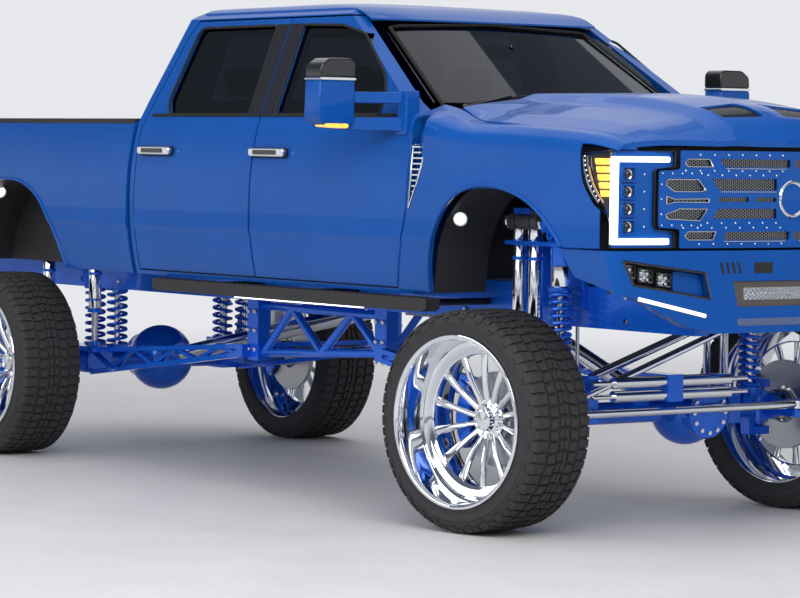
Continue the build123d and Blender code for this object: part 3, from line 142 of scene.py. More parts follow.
@dataclass(frozen=True)
class Finish:
    """One finish: the numbers of its shader and the pattern that varies them."""

    name: str
    slot: str
    colour: Colour
    pattern: Pattern
    metallic: float = 0.0
    roughness: float = 0.5
    specular: float = 0.5
    coat: float = 0.0
    transmission: float = 0.0
    glow: float = 0.0
    cells: float = 300.0
    spread: float = 0.12
    relief: float = 0.1
    depth: float = 0.0003
    stretch: tuple[float, float, float] = (1.0, 1.0, 1.0)

    def material(self) -> bpy.types.Material:
        """Builds the material once and returns it after that.

        Returns:
            The material, with colour, roughness and relief varied by the pattern.
        """
        made = bpy.data.materials.get(self.name)
        if made:
            return made
        made = bpy.data.materials.new(self.name)
        made.use_nodes = True
        tree = made.node_tree
        place = add_node(tree, "TexCoord").outputs["Object"]
        scaled = add_node(tree, "Mapping", {"Vector": place, "Scale": self.stretch})
        cellular = self.pattern in CELLULAR
        fine = add_node(tree, "TexVoronoi" if cellular else "TexNoise",
                        {"Vector": scaled.outputs["Vector"], "Scale": self.cells})
        detail = fine.outputs["Distance" if cellular else "Fac"]
        broad = add_node(tree, "TexNoise", {"Vector": place, "Scale": BROAD_CELLS, "Detail": 3})
        part = add_node(tree, "Math", {0: broad.outputs["Fac"], 1: 0.5}, operation="MULTIPLY")
        blend = add_node(tree, "Math", {0: detail, 1: 0.6, 2: part.outputs["Value"]},
                         operation="MULTIPLY_ADD")
        ramp = add_node(tree, "ValToRGB", {"Fac": blend.outputs["Value"]})
        ends = zip(ramp.color_ramp.elements, (0.25, 0.75), (1 - self.spread, 1 + self.spread))
        for element, position, level in ends:
            element.position = position
            element.color = (*(min(c * level, 1) for c in self.colour), 1)
        rough = add_node(tree, "MapRange", {
            "Value": broad.outputs["Fac"], "To Min": max(self.roughness * 0.75, 0),
            "To Max": min(self.roughness * 1.3, 1)})
        sockets = {
            "Metallic": self.metallic, "Specular IOR Level": self.specular,
            "Coat Weight": self.coat, "Coat Roughness": COAT_ROUGHNESS,
            "Transmission Weight": self.transmission, "IOR": REFRACTION,
            "Base Color": ramp.outputs["Color"], "Roughness": rough.outputs["Result"]}
        if self.relief > 0:
            bump = add_node(tree, "Bump", {"Height": detail, "Strength": self.relief,
                                           "Distance": self.depth})
            sockets["Normal"] = bump.outputs["Normal"]
        if self.glow > 0:
            sockets |= {"Emission Color": ramp.outputs["Color"], "Emission Strength": self.glow}
        fill_sockets(tree, tree.nodes["Principled BSDF"], sockets)
        return made




PAINT = Finish("azure_paint", "body_paint", (0.003, 0.074, 0.34), Pattern.FLAKE, roughness=0.3,
               specular=0.12, coat=0.35, cells=1400.0, spread=0.14, relief=0.02, depth=0.0001)
CANDY = Finish("candy_blue", "chassis_paint", (0.008, 0.14, 0.78), Pattern.FLAKE, metallic=0.35,
               roughness=0.22, specular=0.3, coat=0.6, cells=1100.0, spread=0.2, relief=0.03, depth=0.0001)
CHROME = Finish("show_chrome", "chrome", (0.80, 0.82, 0.85), Pattern.POLISH, metallic=1.0,
                roughness=0.05, cells=40.0, spread=0.03, relief=0.0)
STEEL = Finish("brushed_steel", "steel", (0.42, 0.43, 0.45), Pattern.BRUSHED, metallic=1.0,
               roughness=0.32, cells=120.0, spread=0.1, relief=0.15, stretch=(1.0, 14.0, 14.0))
PLASTIC = Finish("grained_plastic", "black_plastic", (0.022, 0.022, 0.024), Pattern.GRAIN,
                 roughness=0.55, cells=900.0, spread=0.25, relief=0.35)
GLOSS_BLACK = Finish("gloss_black", "trim_black", (0.012, 0.012, 0.014), Pattern.POLISH,
                     roughness=0.15, coat=0.6, cells=30.0, spread=0.2, relief=0.0)
SEAL = Finish("seal_rubber", "black_plastic", (0.012, 0.012, 0.012), Pattern.CAST,
              roughness=0.75, cells=500.0, spread=0.3, relief=0.2)
RUBBER = Finish("tyre_rubber_dusty", "tyre_rubber", (0.030, 0.029, 0.031), Pattern.RUBBER,
                roughness=0.78, cells=420.0, spread=0.35, relief=0.45, depth=0.0006)
GLASS = Finish("tinted_glass", "cab_glass", (0.07, 0.085, 0.11), Pattern.POLISH,
               roughness=0.02, transmission=1.0, cells=12.0, spread=0.04, relief=0.0)
LENS = Finish("clear_lens", "lamp_lens", (0.86, 0.9, 0.95), Pattern.POLISH,
              roughness=0.03, transmission=0.9, cells=60.0, spread=0.03, relief=0.05)
RED_LENS = Finish("red_lens_fluted", "red_lens", (0.42, 0.008, 0.01), Pattern.GRAIN,
                  roughness=0.1, coat=1.0, cells=160.0, spread=0.25, relief=0.3)
LEATHER = Finish("seat_leather_grain", "seat_leather", (0.035, 0.035, 0.04), Pattern.LEATHER,
                 roughness=0.45, cells=420.0, spread=0.25, relief=0.5, depth=0.0006)
IRON = Finish("engine_casting", "engine_iron", (0.09, 0.09, 0.1), Pattern.CAST,
              metallic=0.6, roughness=0.6, cells=260.0, spread=0.3, relief=0.5, depth=0.0008)
WHITE_LED = Finish("white_led", "lamp_lens", (0.92, 0.95, 1.0), Pattern.LED, roughness=0.2,
                   glow=2.2, cells=70.0, spread=0.05, relief=0.0)
WARM_LED = Finish("warm_led", "lamp_lens", (1.0, 0.80, 0.58), Pattern.LED, roughness=0.2,
                  glow=1.05, cells=70.0, spread=0.06, relief=0.0)
AMBER_LED = Finish("amber_marker", "lamp_lens", (1.0, 0.36, 0.05), Pattern.LED, roughness=0.2,
                   glow=1.4, cells=60.0, spread=0.3, relief=0.0)
WARM_GREY = Finish("warm_grey_frame", "trim_black", (0.085, 0.072, 0.066), Pattern.CAST,
                   roughness=0.5, cells=300.0, spread=0.2, relief=0.2)
REFLECTOR = Finish("lamp_reflector", "chrome", (0.7, 0.72, 0.75), Pattern.LED, metallic=1.0,
                   roughness=0.12, cells=120.0, spread=0.12, relief=0.4)
FLOOR = Finish("studio_floor", "steel", (0.62, 0.61, 0.62), Pattern.FLOOR, roughness=0.55,
               cells=14.0, spread=0.04, relief=0.05)

NODE_FINISH = {
    "body_paint": PAINT, "chassis_paint": CANDY, "chrome": CHROME, "steel": STEEL,
    "black_plastic": PLASTIC, "trim_black": GLOSS_BLACK, "tyre_rubber": RUBBER,
    "cab_glass": GLASS, "lamp_lens": LENS, "red_lens": RED_LENS, "seat_leather": LEATHER,
    "engine_iron": IRON,
}


def grid_faces(rows: int, columns: int, wrap_rows: bool, wrap_columns: bool) -> Points:
    """Faces of a grid of points numbered row by row.

    Args:
        rows: points along the first parameter.
        columns: points along the second parameter.
        wrap_rows: whether the last row joins the first.
        wrap_columns: whether the last column joins the first.

    Returns:
        An array of four-sided faces.
    """
    row = np.arange(rows if wrap_rows else rows - 1)[:, None]
    column = np.arange(columns if wrap_columns else columns - 1)[None, :]
    next_row, next_column = (row + 1) % rows, (column + 1) % columns
    corners = (row * columns + column, next_row * columns + column,
               next_row * columns + next_column, row * columns + next_column)
    return joined(*corners).reshape(-1, 4)


def cubic(t: Points, run: Points, ends: tuple) -> Points:
    """The cubic between two values with given slopes, by the four Hermite weights.

    Args:
        t: share of the way, from 0 to 1.
        run: the way's length.
        ends: first value, its slope, last value, its slope.

    Returns:
        The value at each share.
    """
    first, rise, last, fall = ends
    t2, t3 = t * t, t * t * t
    return ((2 * t3 - 3 * t2 + 1) * first + (t3 - 2 * t2 + t) * run * rise
            + (3 * t2 - 2 * t3) * last + (t3 - t2) * run * fall)


def smooth(knots: Points, values: Points, where: Points) -> Points:
    """A smooth curve through a table: between two knots, the cubic whose slopes at them are those
    of the parabola through each knot and its neighbours.

    Args:
        knots: rising parameters of the table.
        values: the table's values, one row for each knot.
        where: parameters to read the curve at.

    Returns:
        The curve's values, one row for each parameter.
    """
    knots = np.asarray(knots, float)
    values = np.asarray(values, float)
    slopes = np.gradient(values, knots, axis=0)
    k = np.clip(np.searchsorted(knots, where, side="right") - 1, 0, len(knots) - 2)
    run = knots[k + 1] - knots[k]
    t = np.clip((where - knots[k]) / run, 0, 1)
    if values.ndim > 1:
        run, t = run[..., None], t[..., None]
    return cubic(t, run, (values[k], slopes[k], values[k + 1], slopes[k + 1]))


def inside(outline: Points, points: Points) -> Points:
    """Which points lie inside a closed outline, by counting the sides crossed to their right.

    Args:
        outline: the outline's corners, two columns.
        points: the points, two columns.

    Returns:
        An array of booleans.
    """
    a, b = outline[None], np.roll(outline, -1, axis=0)[None]
    u, v = points[:, None, 0], points[:, None, 1]
    crosses = (a[..., 1] > v) != (b[..., 1] > v)
    rise = np.where(crosses, b[..., 1] - a[..., 1], 1)
    at_u = a[..., 0] + (v - a[..., 1]) * (b[..., 0] - a[..., 0]) / rise
    return (crosses & (u < at_u)).sum(axis=1) % 2 == 1


def rounded(corners: list, radius: float, steps: int = 5) -> Points:
    """An outline with its corners rounded: at each corner, the parabola that touches both sides
    where they are the radius away, or less on a short side.

    Args:
        corners: the outline's corners.
        radius: distance from a corner to where its curve starts.
        steps: points on each curve.

    Returns:
        The rounded outline.
    """
    points = np.asarray(corners, float)
    before, after = np.roll(points, 1, axis=0) - points, np.roll(points, -1, axis=0) - points
    reach = [np.minimum(radius, 0.45 * np.linalg.norm(d, axis=1))[:, None] for d in (before, after)]
    start = points + before / np.linalg.norm(before, axis=1)[:, None] * reach[0]
    end = points + after / np.linalg.norm(after, axis=1)[:, None] * reach[1]
    t = np.linspace(0, 1, steps)[None, :, None]
    curve = (1 - t) ** 2 * start[:, None] + 2 * t * (1 - t) * points[:, None] + t * t * end[:, None]
    return curve.reshape(-1, 2)


def joined(*parts: Points) -> Points:
    """Points from their coordinates, each spread over the others' shape."""
    return np.stack(np.broadcast_arrays(*parts), -1)


def rectangle(low: tuple, high: tuple, radius: float = 0.0, steps: int = 5) -> Points:
    """A rectangle's outline between two opposite corners, its corners rounded where asked."""
    corners = [low, (high[0], low[1]), high, (low[0], high[1])]
    return rounded(corners, radius, steps) if radius else np.array(corners, float)


def nearest_on(outline: Points, points: Points) -> Points:
    """The nearest point of a closed outline to each point, by projecting on every side.

    Args:
        outline: the outline's corners, two columns.
        points: the points, two columns.

    Returns:
        One point of the outline for each given point.
    """
    a = outline[None]
    side = (np.roll(outline, -1, axis=0) - outline)[None]
    length = np.maximum((side ** 2).sum(-1), 1e-9)
    share = np.clip(((points[:, None] - a) * side).sum(-1) / length, 0, 1)
    foot = a + side * share[..., None]
    best = ((foot - points[:, None]) ** 2).sum(-1).argmin(axis=1)
    return foot[np.arange(len(points)), best]


class Mould:
    """Gathers the points and faces of one piece and turns them into an object."""

    def __init__(self, name: str) -> None:
        """Starts an empty piece.

        Args:
            name: the piece's name.
        """
        self.name = name
        self.points: list[Points] = []
        self.faces: list[Points] = []
        self.count = 0

    def add(self, points: Points, *faces: Points) -> "Mould":
        """Adds points and the faces between them.

        Args:
            points: three columns, in millimetres.
            faces: arrays of faces, numbered within these points.

        Returns:
            The mould itself.
        """
        points = np.asarray(points, float).reshape(-1, 3)
        self.points.append(points)
        self.faces += [np.asarray(f, np.int64) + self.count for f in faces if len(f)]
        self.count += len(points)
        return self

    def grid(self, points: Points, wrap_rows: bool = False, wrap_columns: bool = False) -> "Mould":
        """Adds a surface given as a grid of points, rows by columns by three."""
        rows, columns = points.shape[:2]
        return self.add(points, grid_faces(rows, columns, wrap_rows, wrap_columns))

    def capped(self, points: Points) -> "Mould":
        """Adds a surface that closes on itself across its rows, with a cap on both ends.

        Args:
            points: rows by columns by three.

        Returns:
            The mould itself.
        """
        loop = np.arange(points.shape[1])
        self.grid(points, wrap_columns=True)
        return self.add(np.concatenate([points[0], points[-1]]), loop[None, ::-1],
                        (loop + len(loop))[None])

    def moved(self, place: Callable[[Points], Points]) -> "Mould":
        """Puts every point where the function says."""
        self.points = [place(p) for p in self.points]
        return self

    def tube(self, path: Points, radius: Points, sides: int = 14, up: Colour = (0.0, 0.0, 1.0)) -> "Mould":
        """Adds a round bar: a circle carried square to its path, with a cap at each end.

        Args:
            path: the centre line's points.
            radius: one radius, or one for each point of the path.
            sides: points on the circle.
            up: a direction that the path never runs along.

        Returns:
            The mould itself.
        """
        path = np.asarray(path, float)
        radius = np.broadcast_to(np.asarray(radius, float), (len(path),))
        along = np.gradient(path, axis=0)
        along /= np.linalg.norm(along, axis=1)[:, None]
        across = np.cross(along, np.asarray(up, float))
        across /= np.linalg.norm(across, axis=1)[:, None]
        rise = np.cross(across, along)
        angle = np.arange(sides) * 2 * pi / sides
        ring = (across[:, None] * np.cos(angle)[None, :, None]
                + rise[:, None] * np.sin(angle)[None, :, None])
        return self.capped(path[:, None] + ring * radius[:, None, None])

    def turned(self, profile: Points, centre: Points, axis: Points, sides: int = 96,
               closed: bool = True) -> "Mould":
        """Adds a profile turned about an axis.

        Args:
            profile: radius and distance along the axis.
            centre: a point of the axis, where the distance is 0.
            axis: the axis's direction, of length 1.
            sides: steps round the circle.
            closed: whether the profile's last point joins its first.

        Returns:
            The mould itself.
        """
        axis = np.asarray(axis, float)
        first = np.cross(axis, (1, 0, 0) if abs(axis[0]) < 0.9 else (0, 0, 1))
        first /= np.linalg.norm(first)
        second = np.cross(axis, first)
        angle = np.arange(sides) * 2 * pi / sides
        ring = np.cos(angle)[:, None] * first + np.sin(angle)[:, None] * second
        profile = np.asarray(profile, float)
        grid = (np.asarray(centre, float) + ring[:, None] * profile[None, :, :1]
                + axis * profile[None, :, 1:])
        return self.grid(grid, wrap_rows=True, wrap_columns=closed)

    def prism(self, outline: Points, place: Callable, start: float, end: float) -> "Mould":
        """Adds a flat outline carried from start to end.

        Args:
            outline: the outline's corners, two columns.
            place: turns two coordinates and a depth into points.
            start: depth of the first face.
            end: depth of the last face.

        Returns:
            The mould itself.
        """
        outline = np.asarray(outline, float)
        n = len(outline)
        near = place(outline[:, 0], outline[:, 1], start)
        far = place(outline[:, 0], outline[:, 1], end)
        loop = np.arange(n)
        sides = joined(loop, (loop + 1) % n, (loop + 1) % n + n, loop + n)
        return self.add(np.concatenate([near, far]), sides, loop[None, ::-1], (loop + n)[None])

    def block(self, low: Colour, high: Colour) -> "Mould":
        """Adds a block between two corners, for a bevel to round."""
        return self.prism(rectangle(low[:2], high[:2]), Run.Z.place, low[2], high[2])

    def bar(self, start: Points, end: Points, width: float, height: float,
            up: Colour = (0.0, 0.0, 1.0)) -> "Mould":
        """Adds a rectangular bar between two points.

        Args:
            start: middle of its first end.
            end: middle of its last end.
            width: its size across.
            height: its size near the up direction.
            up: a direction that the bar doesn't run along.

        Returns:
            The mould itself.
        """
        start, end = np.asarray(start, float), np.asarray(end, float)
        along = end - start
        length = np.linalg.norm(along)
        along = along / length
        side = np.cross(along, up)
        side /= np.linalg.norm(side)
        rise = np.cross(side, along)
        half = rectangle((-width, -height), (width, height)) / 2
        return self.prism(half, lambda u, v, d: start + u[:, None] * side
                          + v[:, None] * rise + along * d, 0, length)

    def panel(self, outline: Points, surface: Surface, spacing: float, wall: Points,
              holes: list | None = None) -> "Mould":
        """Adds a sheet with an outline: the cells of a fine grid whose middles are inside the
        outline and outside the holes, its edge points moved to the nearest point of the outline,
        laid on a surface, and a second layer a wall's thickness behind with the rim between.

        Args:
            outline: the outline's corners in the surface's two parameters.
            surface: turns the two parameters into points.
            spacing: the grid's spacing.
            wall: the step from the outer layer to the inner one.
            holes: outlines of openings.

        Returns:
            The mould itself.
        """
        outline = np.asarray(outline, float)
        holes = [np.asarray(h, float) for h in holes or []]
        low, high = outline.min(0), outline.max(0)
        steps = np.maximum(np.ceil((high - low) / spacing).astype(int), 1)
        u, v = (np.linspace(low[i], high[i], steps[i] + 1) for i in (0, 1))
        nodes = np.stack(np.meshgrid(u, v, indexing="ij"), -1).reshape(-1, 2)
        cells = grid_faces(len(u), len(v), False, False)
        middle = nodes[cells].mean(axis=1)
        keep = inside(outline, middle)
        for hole in holes:
            keep &= ~inside(hole, middle)
        cells = cells[keep]
        used, cells = np.unique(cells, return_inverse=True)
        cells = cells.reshape(-1, 4)
        nodes = nodes[used]
        edges = joined(cells, np.roll(cells, -1, axis=1)).reshape(-1, 2)
        keys = edges[:, 0] * len(nodes) + edges[:, 1]
        rim = edges[~np.isin(keys, edges[:, 1] * len(nodes) + edges[:, 0])]
        rim_nodes = np.unique(rim)
        targets = np.stack([nearest_on(line, nodes[rim_nodes]) for line in [outline, *holes]])
        away = ((targets - nodes[rim_nodes][None]) ** 2).sum(-1)
        nodes[rim_nodes] = targets[away.argmin(axis=0), np.arange(len(rim_nodes))]
        outer = surface(nodes[:, 0], nodes[:, 1])
        n = len(nodes)
        lip = joined(rim[:, 1], rim[:, 0], rim[:, 0] + n, rim[:, 1] + n)
        return self.add(np.concatenate([outer, outer + np.asarray(wall, float)]), cells,
                        cells[:, ::-1] + n, lip)

    def mirrored(self, name: str | None = None) -> "Mould":
        """The same piece on the truck's other side, its faces turned back outwards.

        Args:
            name: the twin's name.

        Returns:
            The twin.
        """
        twin = Mould(name or self.name)
        twin.points = [p * (1, -1, 1) for p in self.points]
        twin.faces = [f[:, ::-1] for f in self.faces]
        twin.count = self.count
        return twin

    def both_sides(self) -> "Mould":
        """Adds the mirrored copy of everything so far.

        Returns:
            The mould itself.
        """
        twin = self.mirrored()
        self.faces += [f + self.count for f in twin.faces]
        self.points += twin.points
        self.count *= 2
        return self

    def finish(self, finish: Finish, body: str = CHASSIS, sharp: float = 32.0,
               bevel: float = 0.0) -> bpy.types.Object:
        """Makes the object: merged, faces outwards, smooth but for edges over the sharp angle.

        Args:
            finish: its finish.
            body: the body that it rides on.
            sharp: the angle in degrees over which an edge stays sharp.
            bevel: width of the rounding along edges, in millimetres, 0 for none.

        Returns:
            The object, riding on the body.
        """
        points = np.concatenate(self.points)
        points = (points + (FRONT_AXLE, 0, 0)) * METRES
        mesh = bpy.data.meshes.new(self.name)
        mesh.vertices.add(len(points))
        mesh.vertices.foreach_set("co", points.ravel())
        sizes = np.concatenate([np.full(len(f), f.shape[1]) for f in self.faces])
        loops = np.concatenate([f.ravel() for f in self.faces])
        mesh.loops.add(len(loops))
        mesh.loops.foreach_set("vertex_index", loops.astype(np.int32))
        mesh.polygons.add(len(sizes))
        mesh.polygons.foreach_set("loop_start", np.concatenate([[0], np.cumsum(sizes)[:-1]])
                                  .astype(np.int32))
        mesh.update(calc_edges=True)
        mesh.validate()
        close_up(mesh)
        mesh.materials.append(finish.material())
        mesh.shade_smooth()
        mesh.set_sharp_from_angle(angle=radians(sharp))
        made = bpy.data.objects.new(self.name, mesh)
        bpy.context.scene.collection.objects.link(made)
        if bevel > 0:
            rounding = made.modifiers.new("rounding", "BEVEL")
            rounding.width = bevel * METRES
            rounding.segments = 2
            rounding.limit_method = "ANGLE"
            rounding.harden_normals = True
        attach(made, body)
        log.info("%s: %d points, %d faces, rides on %s", self.name, len(mesh.vertices),
                 len(mesh.polygons), body)
        return made


def close_up(mesh: bpy.types.Mesh) -> None:
    """Merges doubled points and turns every closed shell's faces outwards.

    Args:
        mesh: the mesh to close up.
    """
    work = bmesh.new()
    work.from_mesh(mesh)
    bmesh.ops.remove_doubles(work, verts=work.verts, dist=1e-5)
    bmesh.ops.recalc_face_normals(work, faces=work.faces)
    work.to_mesh(mesh)
    work.free()


@dataclass
class Studio:
    """Pale floor, pale surroundings, soft lamps and the camera of the photograph."""

    floor_half: float = 60.0
    azimuth: float = 53.74
    pitch: float = 2.69
    roll: float = 0.74
    focal_pixels: float = 3276.4
    frame_width: int = 800
    distance: float = 15418.02
    sideways: float = 1170.53
    height: float = 1745.43
    backdrop: Colour = (0.80, 0.81, 0.84)
    # rise of the view and colour: pale at the horizon, darker above
    sky: tuple = ((0.06, (0.80, 0.81, 0.84)), (0.24, (0.14, 0.16, 0.21)))
    fill_strength: float = 0.55
    fill_colour: tuple = (0.95, 0.97, 1, 1)
    fade: tuple[float, float] = (4.5, 15.0)
    lamps: tuple = (
        # name, place, width, height, watts
        ("key_softbox", (9, -4.5, 7), 8, 5, 600),
        ("side_softbox", (0.5, -10.5, 5), 12, 4, 420),
        ("back_softbox", (-11, 7, 8), 16, 8, 260),
        ("top_softbox", (0, 0.5, 9.5), 16, 10, 330),
    )

    def build(self) -> None:
        """Builds floor, world, lamps and camera."""
        self._floor()
        self._world()
        for name, place, width, height, watts in self.lamps:
            self._lamp(name, place, width, height, watts)
        self._camera()
        bpy.context.scene.view_settings.view_transform = "Standard"

    def _floor(self) -> None:
        """A square floor with slight tone changes."""
        half = self.floor_half
        mesh = bpy.data.meshes.new("studio_floor")
        corners = [(-half, -half, 0), (half, -half, 0), (half, half, 0), (-half, half, 0)]
        mesh.from_pydata(corners, [], [(0, 1, 2, 3)])
        mesh.materials.append(self._floor_finish())
        floor = bpy.data.objects.new("studio_floor", mesh)
        bpy.context.scene.collection.objects.link(floor)

    def _floor_finish(self) -> bpy.types.Material:
        """The floor's finish, which for the camera turns into the backdrop's colour far away.

        Returns:
            The material.
        """
        made = FLOOR.material()
        tree = made.node_tree
        output = next(n for n in tree.nodes if n.type == "OUTPUT_MATERIAL")
        ground = output.inputs["Surface"].links[0].from_socket
        place = add_node(tree, "TexCoord").outputs["Object"]
        reach = add_node(tree, "VectorMath", {0: place}, operation="LENGTH").outputs["Value"]
        near, far = self.fade
        fade = add_node(tree, "MapRange", {"Value": reach, "From Min": near, "From Max": far},
                        interpolation_type="SMOOTHSTEP")
        seen = add_node(tree, "LightPath").outputs["Is Camera Ray"]
        both = add_node(tree, "Math", {0: fade.outputs["Result"], 1: seen}, operation="MULTIPLY")
        glow = add_node(tree, "Emission", {"Color": (*self.backdrop, 1)}).outputs["Emission"]
        mix = add_node(tree, "MixShader", {"Fac": both.outputs["Value"], 1: ground, 2: glow})
        tree.links.new(mix.outputs["Shader"], output.inputs["Surface"])
        return made

    def _world(self) -> None:
        """Pale surroundings for camera, mirrors and glass, and a softer fill for the rest."""
        world = bpy.data.worlds.new("studio")
        bpy.context.scene.world = world
        world.use_nodes = True
        tree = world.node_tree
        light = tree.nodes["Background"]
        fill_sockets(tree, light, {"Strength": self.fill_strength, "Color": self.fill_colour})
        around = add_node(tree, "TexCoord").outputs["Generated"]
        split = add_node(tree, "SeparateXYZ", {"Vector": around})
        ramp = add_node(tree, "ValToRGB", {"Fac": split.outputs["Z"]})
        for element, (position, colour) in zip(ramp.color_ramp.elements, self.sky):
            element.position = position
            element.color = (*colour, 1)
        seen = add_node(tree, "Background", {"Color": ramp.outputs["Color"]})
        path = add_node(tree, "LightPath").outputs
        either = add_node(tree, "Math", {0: path["Is Camera Ray"], 1: path["Is Glossy Ray"]},
                          operation="MAXIMUM")
        any_seen = add_node(tree, "Math", {0: either.outputs["Value"], 1: path["Is Transmission Ray"]},
                            operation="MAXIMUM")
        mix = add_node(tree, "MixShader", {"Fac": any_seen.outputs["Value"],
                                           1: light.outputs["Background"], 2: seen.outputs["Background"]})
        tree.links.new(mix.outputs["Shader"], tree.nodes["World Output"].inputs["Surface"])

    def _lamp(self, name: str, place: Colour, width: float, height: float, watts: float) -> None:
        """A rectangular soft lamp that faces the middle of the truck.

        Args:
            name: the lamp's name.
            place: where it hangs, in metres.
            width: its width in metres.
            height: its height in metres.
            watts: its power.
        """
        data = bpy.data.lights.new(name, "AREA")
        data.shape = "RECTANGLE"
        data.size, data.size_y, data.energy = width, height, watts
        lamp = bpy.data.objects.new(name, data)
        lamp.location = place
        facing = Vector((0, 0, 1)) - Vector(place)
        lamp.rotation_euler = facing.to_track_quat("-Z", "Y").to_euler()
        bpy.context.scene.collection.objects.link(lamp)

    def _camera(self) -> None:
        """The photograph's camera: turned by azimuth, tipped by pitch and rolled."""
        turn, tip, lean = (radians(a) for a in (self.azimuth, self.pitch, self.roll))
        level = np.array((-sin(turn), cos(turn), 0))
        right = np.array((cos(turn), sin(turn), 0))
        place = (np.array((FRONT_AXLE, 0, self.height)) - level * self.distance
                 - right * self.sideways) * METRES
        ahead = level * cos(tip) - np.array((0, 0, sin(tip)))
        up = np.cross(right, ahead)
        across = right * cos(lean) + up * sin(lean)
        above = -right * sin(lean) + up * cos(lean)
        data = bpy.data.cameras.new("photo_camera")
        data.sensor_fit = "HORIZONTAL"
        data.sensor_width = 36
        data.lens = self.focal_pixels / self.frame_width * data.sensor_width
        data.clip_end = 200
        camera = bpy.data.objects.new("photo_camera", data)
        matrix = np.eye(4)
        matrix[:3, 0], matrix[:3, 1], matrix[:3, 2], matrix[:3, 3] = across, above, -ahead, place
        camera.matrix_world = Matrix(matrix.tolist())
        bpy.context.scene.collection.objects.link(camera)
        bpy.context.scene.camera = camera


@dataclass
class PackedParts:
    """The truck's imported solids, each dressed by the record's slot."""

    edge: float = 2.5
    soft_edged: tuple[str, ...] = (
        "frame", "front_axle", "rear_axle", "ladder_arms", "centre_truss", "transfer_case",
        "engine_block", "hitch_receiver", "rear_bumper", "running_boards", "knuckle_right",
        "knuckle_left", "shocks", "dashboard", "box_floor",
    )
    own_finish: dict = field(default_factory=lambda: {
        "cowl_panel": GLOSS_BLACK, "steering_wheel": LEATHER, "box_floor": PAINT,
        "bumper_lamps": REFLECTOR, "headlamps": REFLECTOR,
    })

    def build(self) -> None:
        """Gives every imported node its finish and, where it shows, a rounded edge."""
        for name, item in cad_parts.items():
            for spot in item.material_slots:
                finish = self.own_finish.get(name) or NODE_FINISH[spot.material.name]
                spot.material = finish.material()
            if name in self.soft_edged:
                weld = item.modifiers.new("join", "WELD")
                weld.merge_threshold = 0.00002
                rounding = item.modifiers.new("edge", "BEVEL")
                rounding.width = self.edge * METRES
                rounding.segments = 2
                rounding.limit_method = "ANGLE"
                rounding.angle_limit = radians(40)
                rounding.harden_normals = True
            log.info("%s dressed in %s", name, item.active_material.name)


def body_half(z: Points) -> Points:
    """Half width of the cab and box sides at a height: one arc up to the shoulder, then the
    straight run in to the window line.

    Args:
        z: heights.

    Returns:
        The half widths.
    """
    z = np.asarray(z, float)
    centre_y, centre_z, radius = SIDE_ARC
    arc = -centre_y + np.sqrt(radius ** 2 - (z - centre_z) ** 2)
    return np.where(z < SHOULDER[1], arc, SHOULDER[0] - (z - SHOULDER[1]) * 15 / 39)


def side_relief(z: Points) -> Points:
    """How far the pressed skin stands off the plain side: a body line at 1306 that rises over
    26 below it and fades over 190 above it, both with the square of the way.

    Args:
        z: heights.

    Returns:
        The distances outwards.
    """
    z = np.asarray(z, float)
    below = np.clip((z - BODY_LINE + 26) / 26, 0, 1)
    above = np.clip((BODY_LINE + 190 - z) / 190, 0, 1)
    return 2 + 6 * np.where(z < BODY_LINE, below ** 2, above ** 2)


def right_skin(x: Points, z: Points) -> Points:
    """The right-hand side surface at station x and height z."""
    return joined(x, -(body_half(z) + side_relief(z)), z)


def nose_arc(y: Points) -> Points:
    """Station of the nose's face at a distance from the middle, falling back with its square."""
    return NOSE_X - NOSE_BOW * (y / NOSE_HALF) ** 2


def nose_plan(s: Points, z: Points, inset: float) -> Points:
    """The nose's face: s runs outwards from the middle, first along the shallow front arc, then
    round a corner of 70, then back along the side.

    Args:
        s: distance outwards from the middle line, its sign the side's.
        z: height.
        inset: distance behind the face.

    Returns:
        Points on the face.
    """
    s, z = np.broadcast_arrays(np.asarray(s, float), np.asarray(z, float))
    side, run = np.where(s < 0, -1, 1), np.abs(s)
    width = np.minimum(body_half(z), NOSE_HALF)
    corner_y = width - NOSE_CORNER
    corner_x = nose_arc(corner_y) - NOSE_CORNER
    angle = np.clip((run - corner_y) / NOSE_CORNER, 0, pi / 2)
    back = np.maximum(run - corner_y - NOSE_CORNER * pi / 2, 0)
    radius = NOSE_CORNER - inset
    x = np.where(run < corner_y, nose_arc(run) - inset, corner_x + radius * np.cos(angle) - back)
    y = np.where(run < corner_y, run, corner_y + radius * np.sin(angle))
    return joined(x, side * y, z)


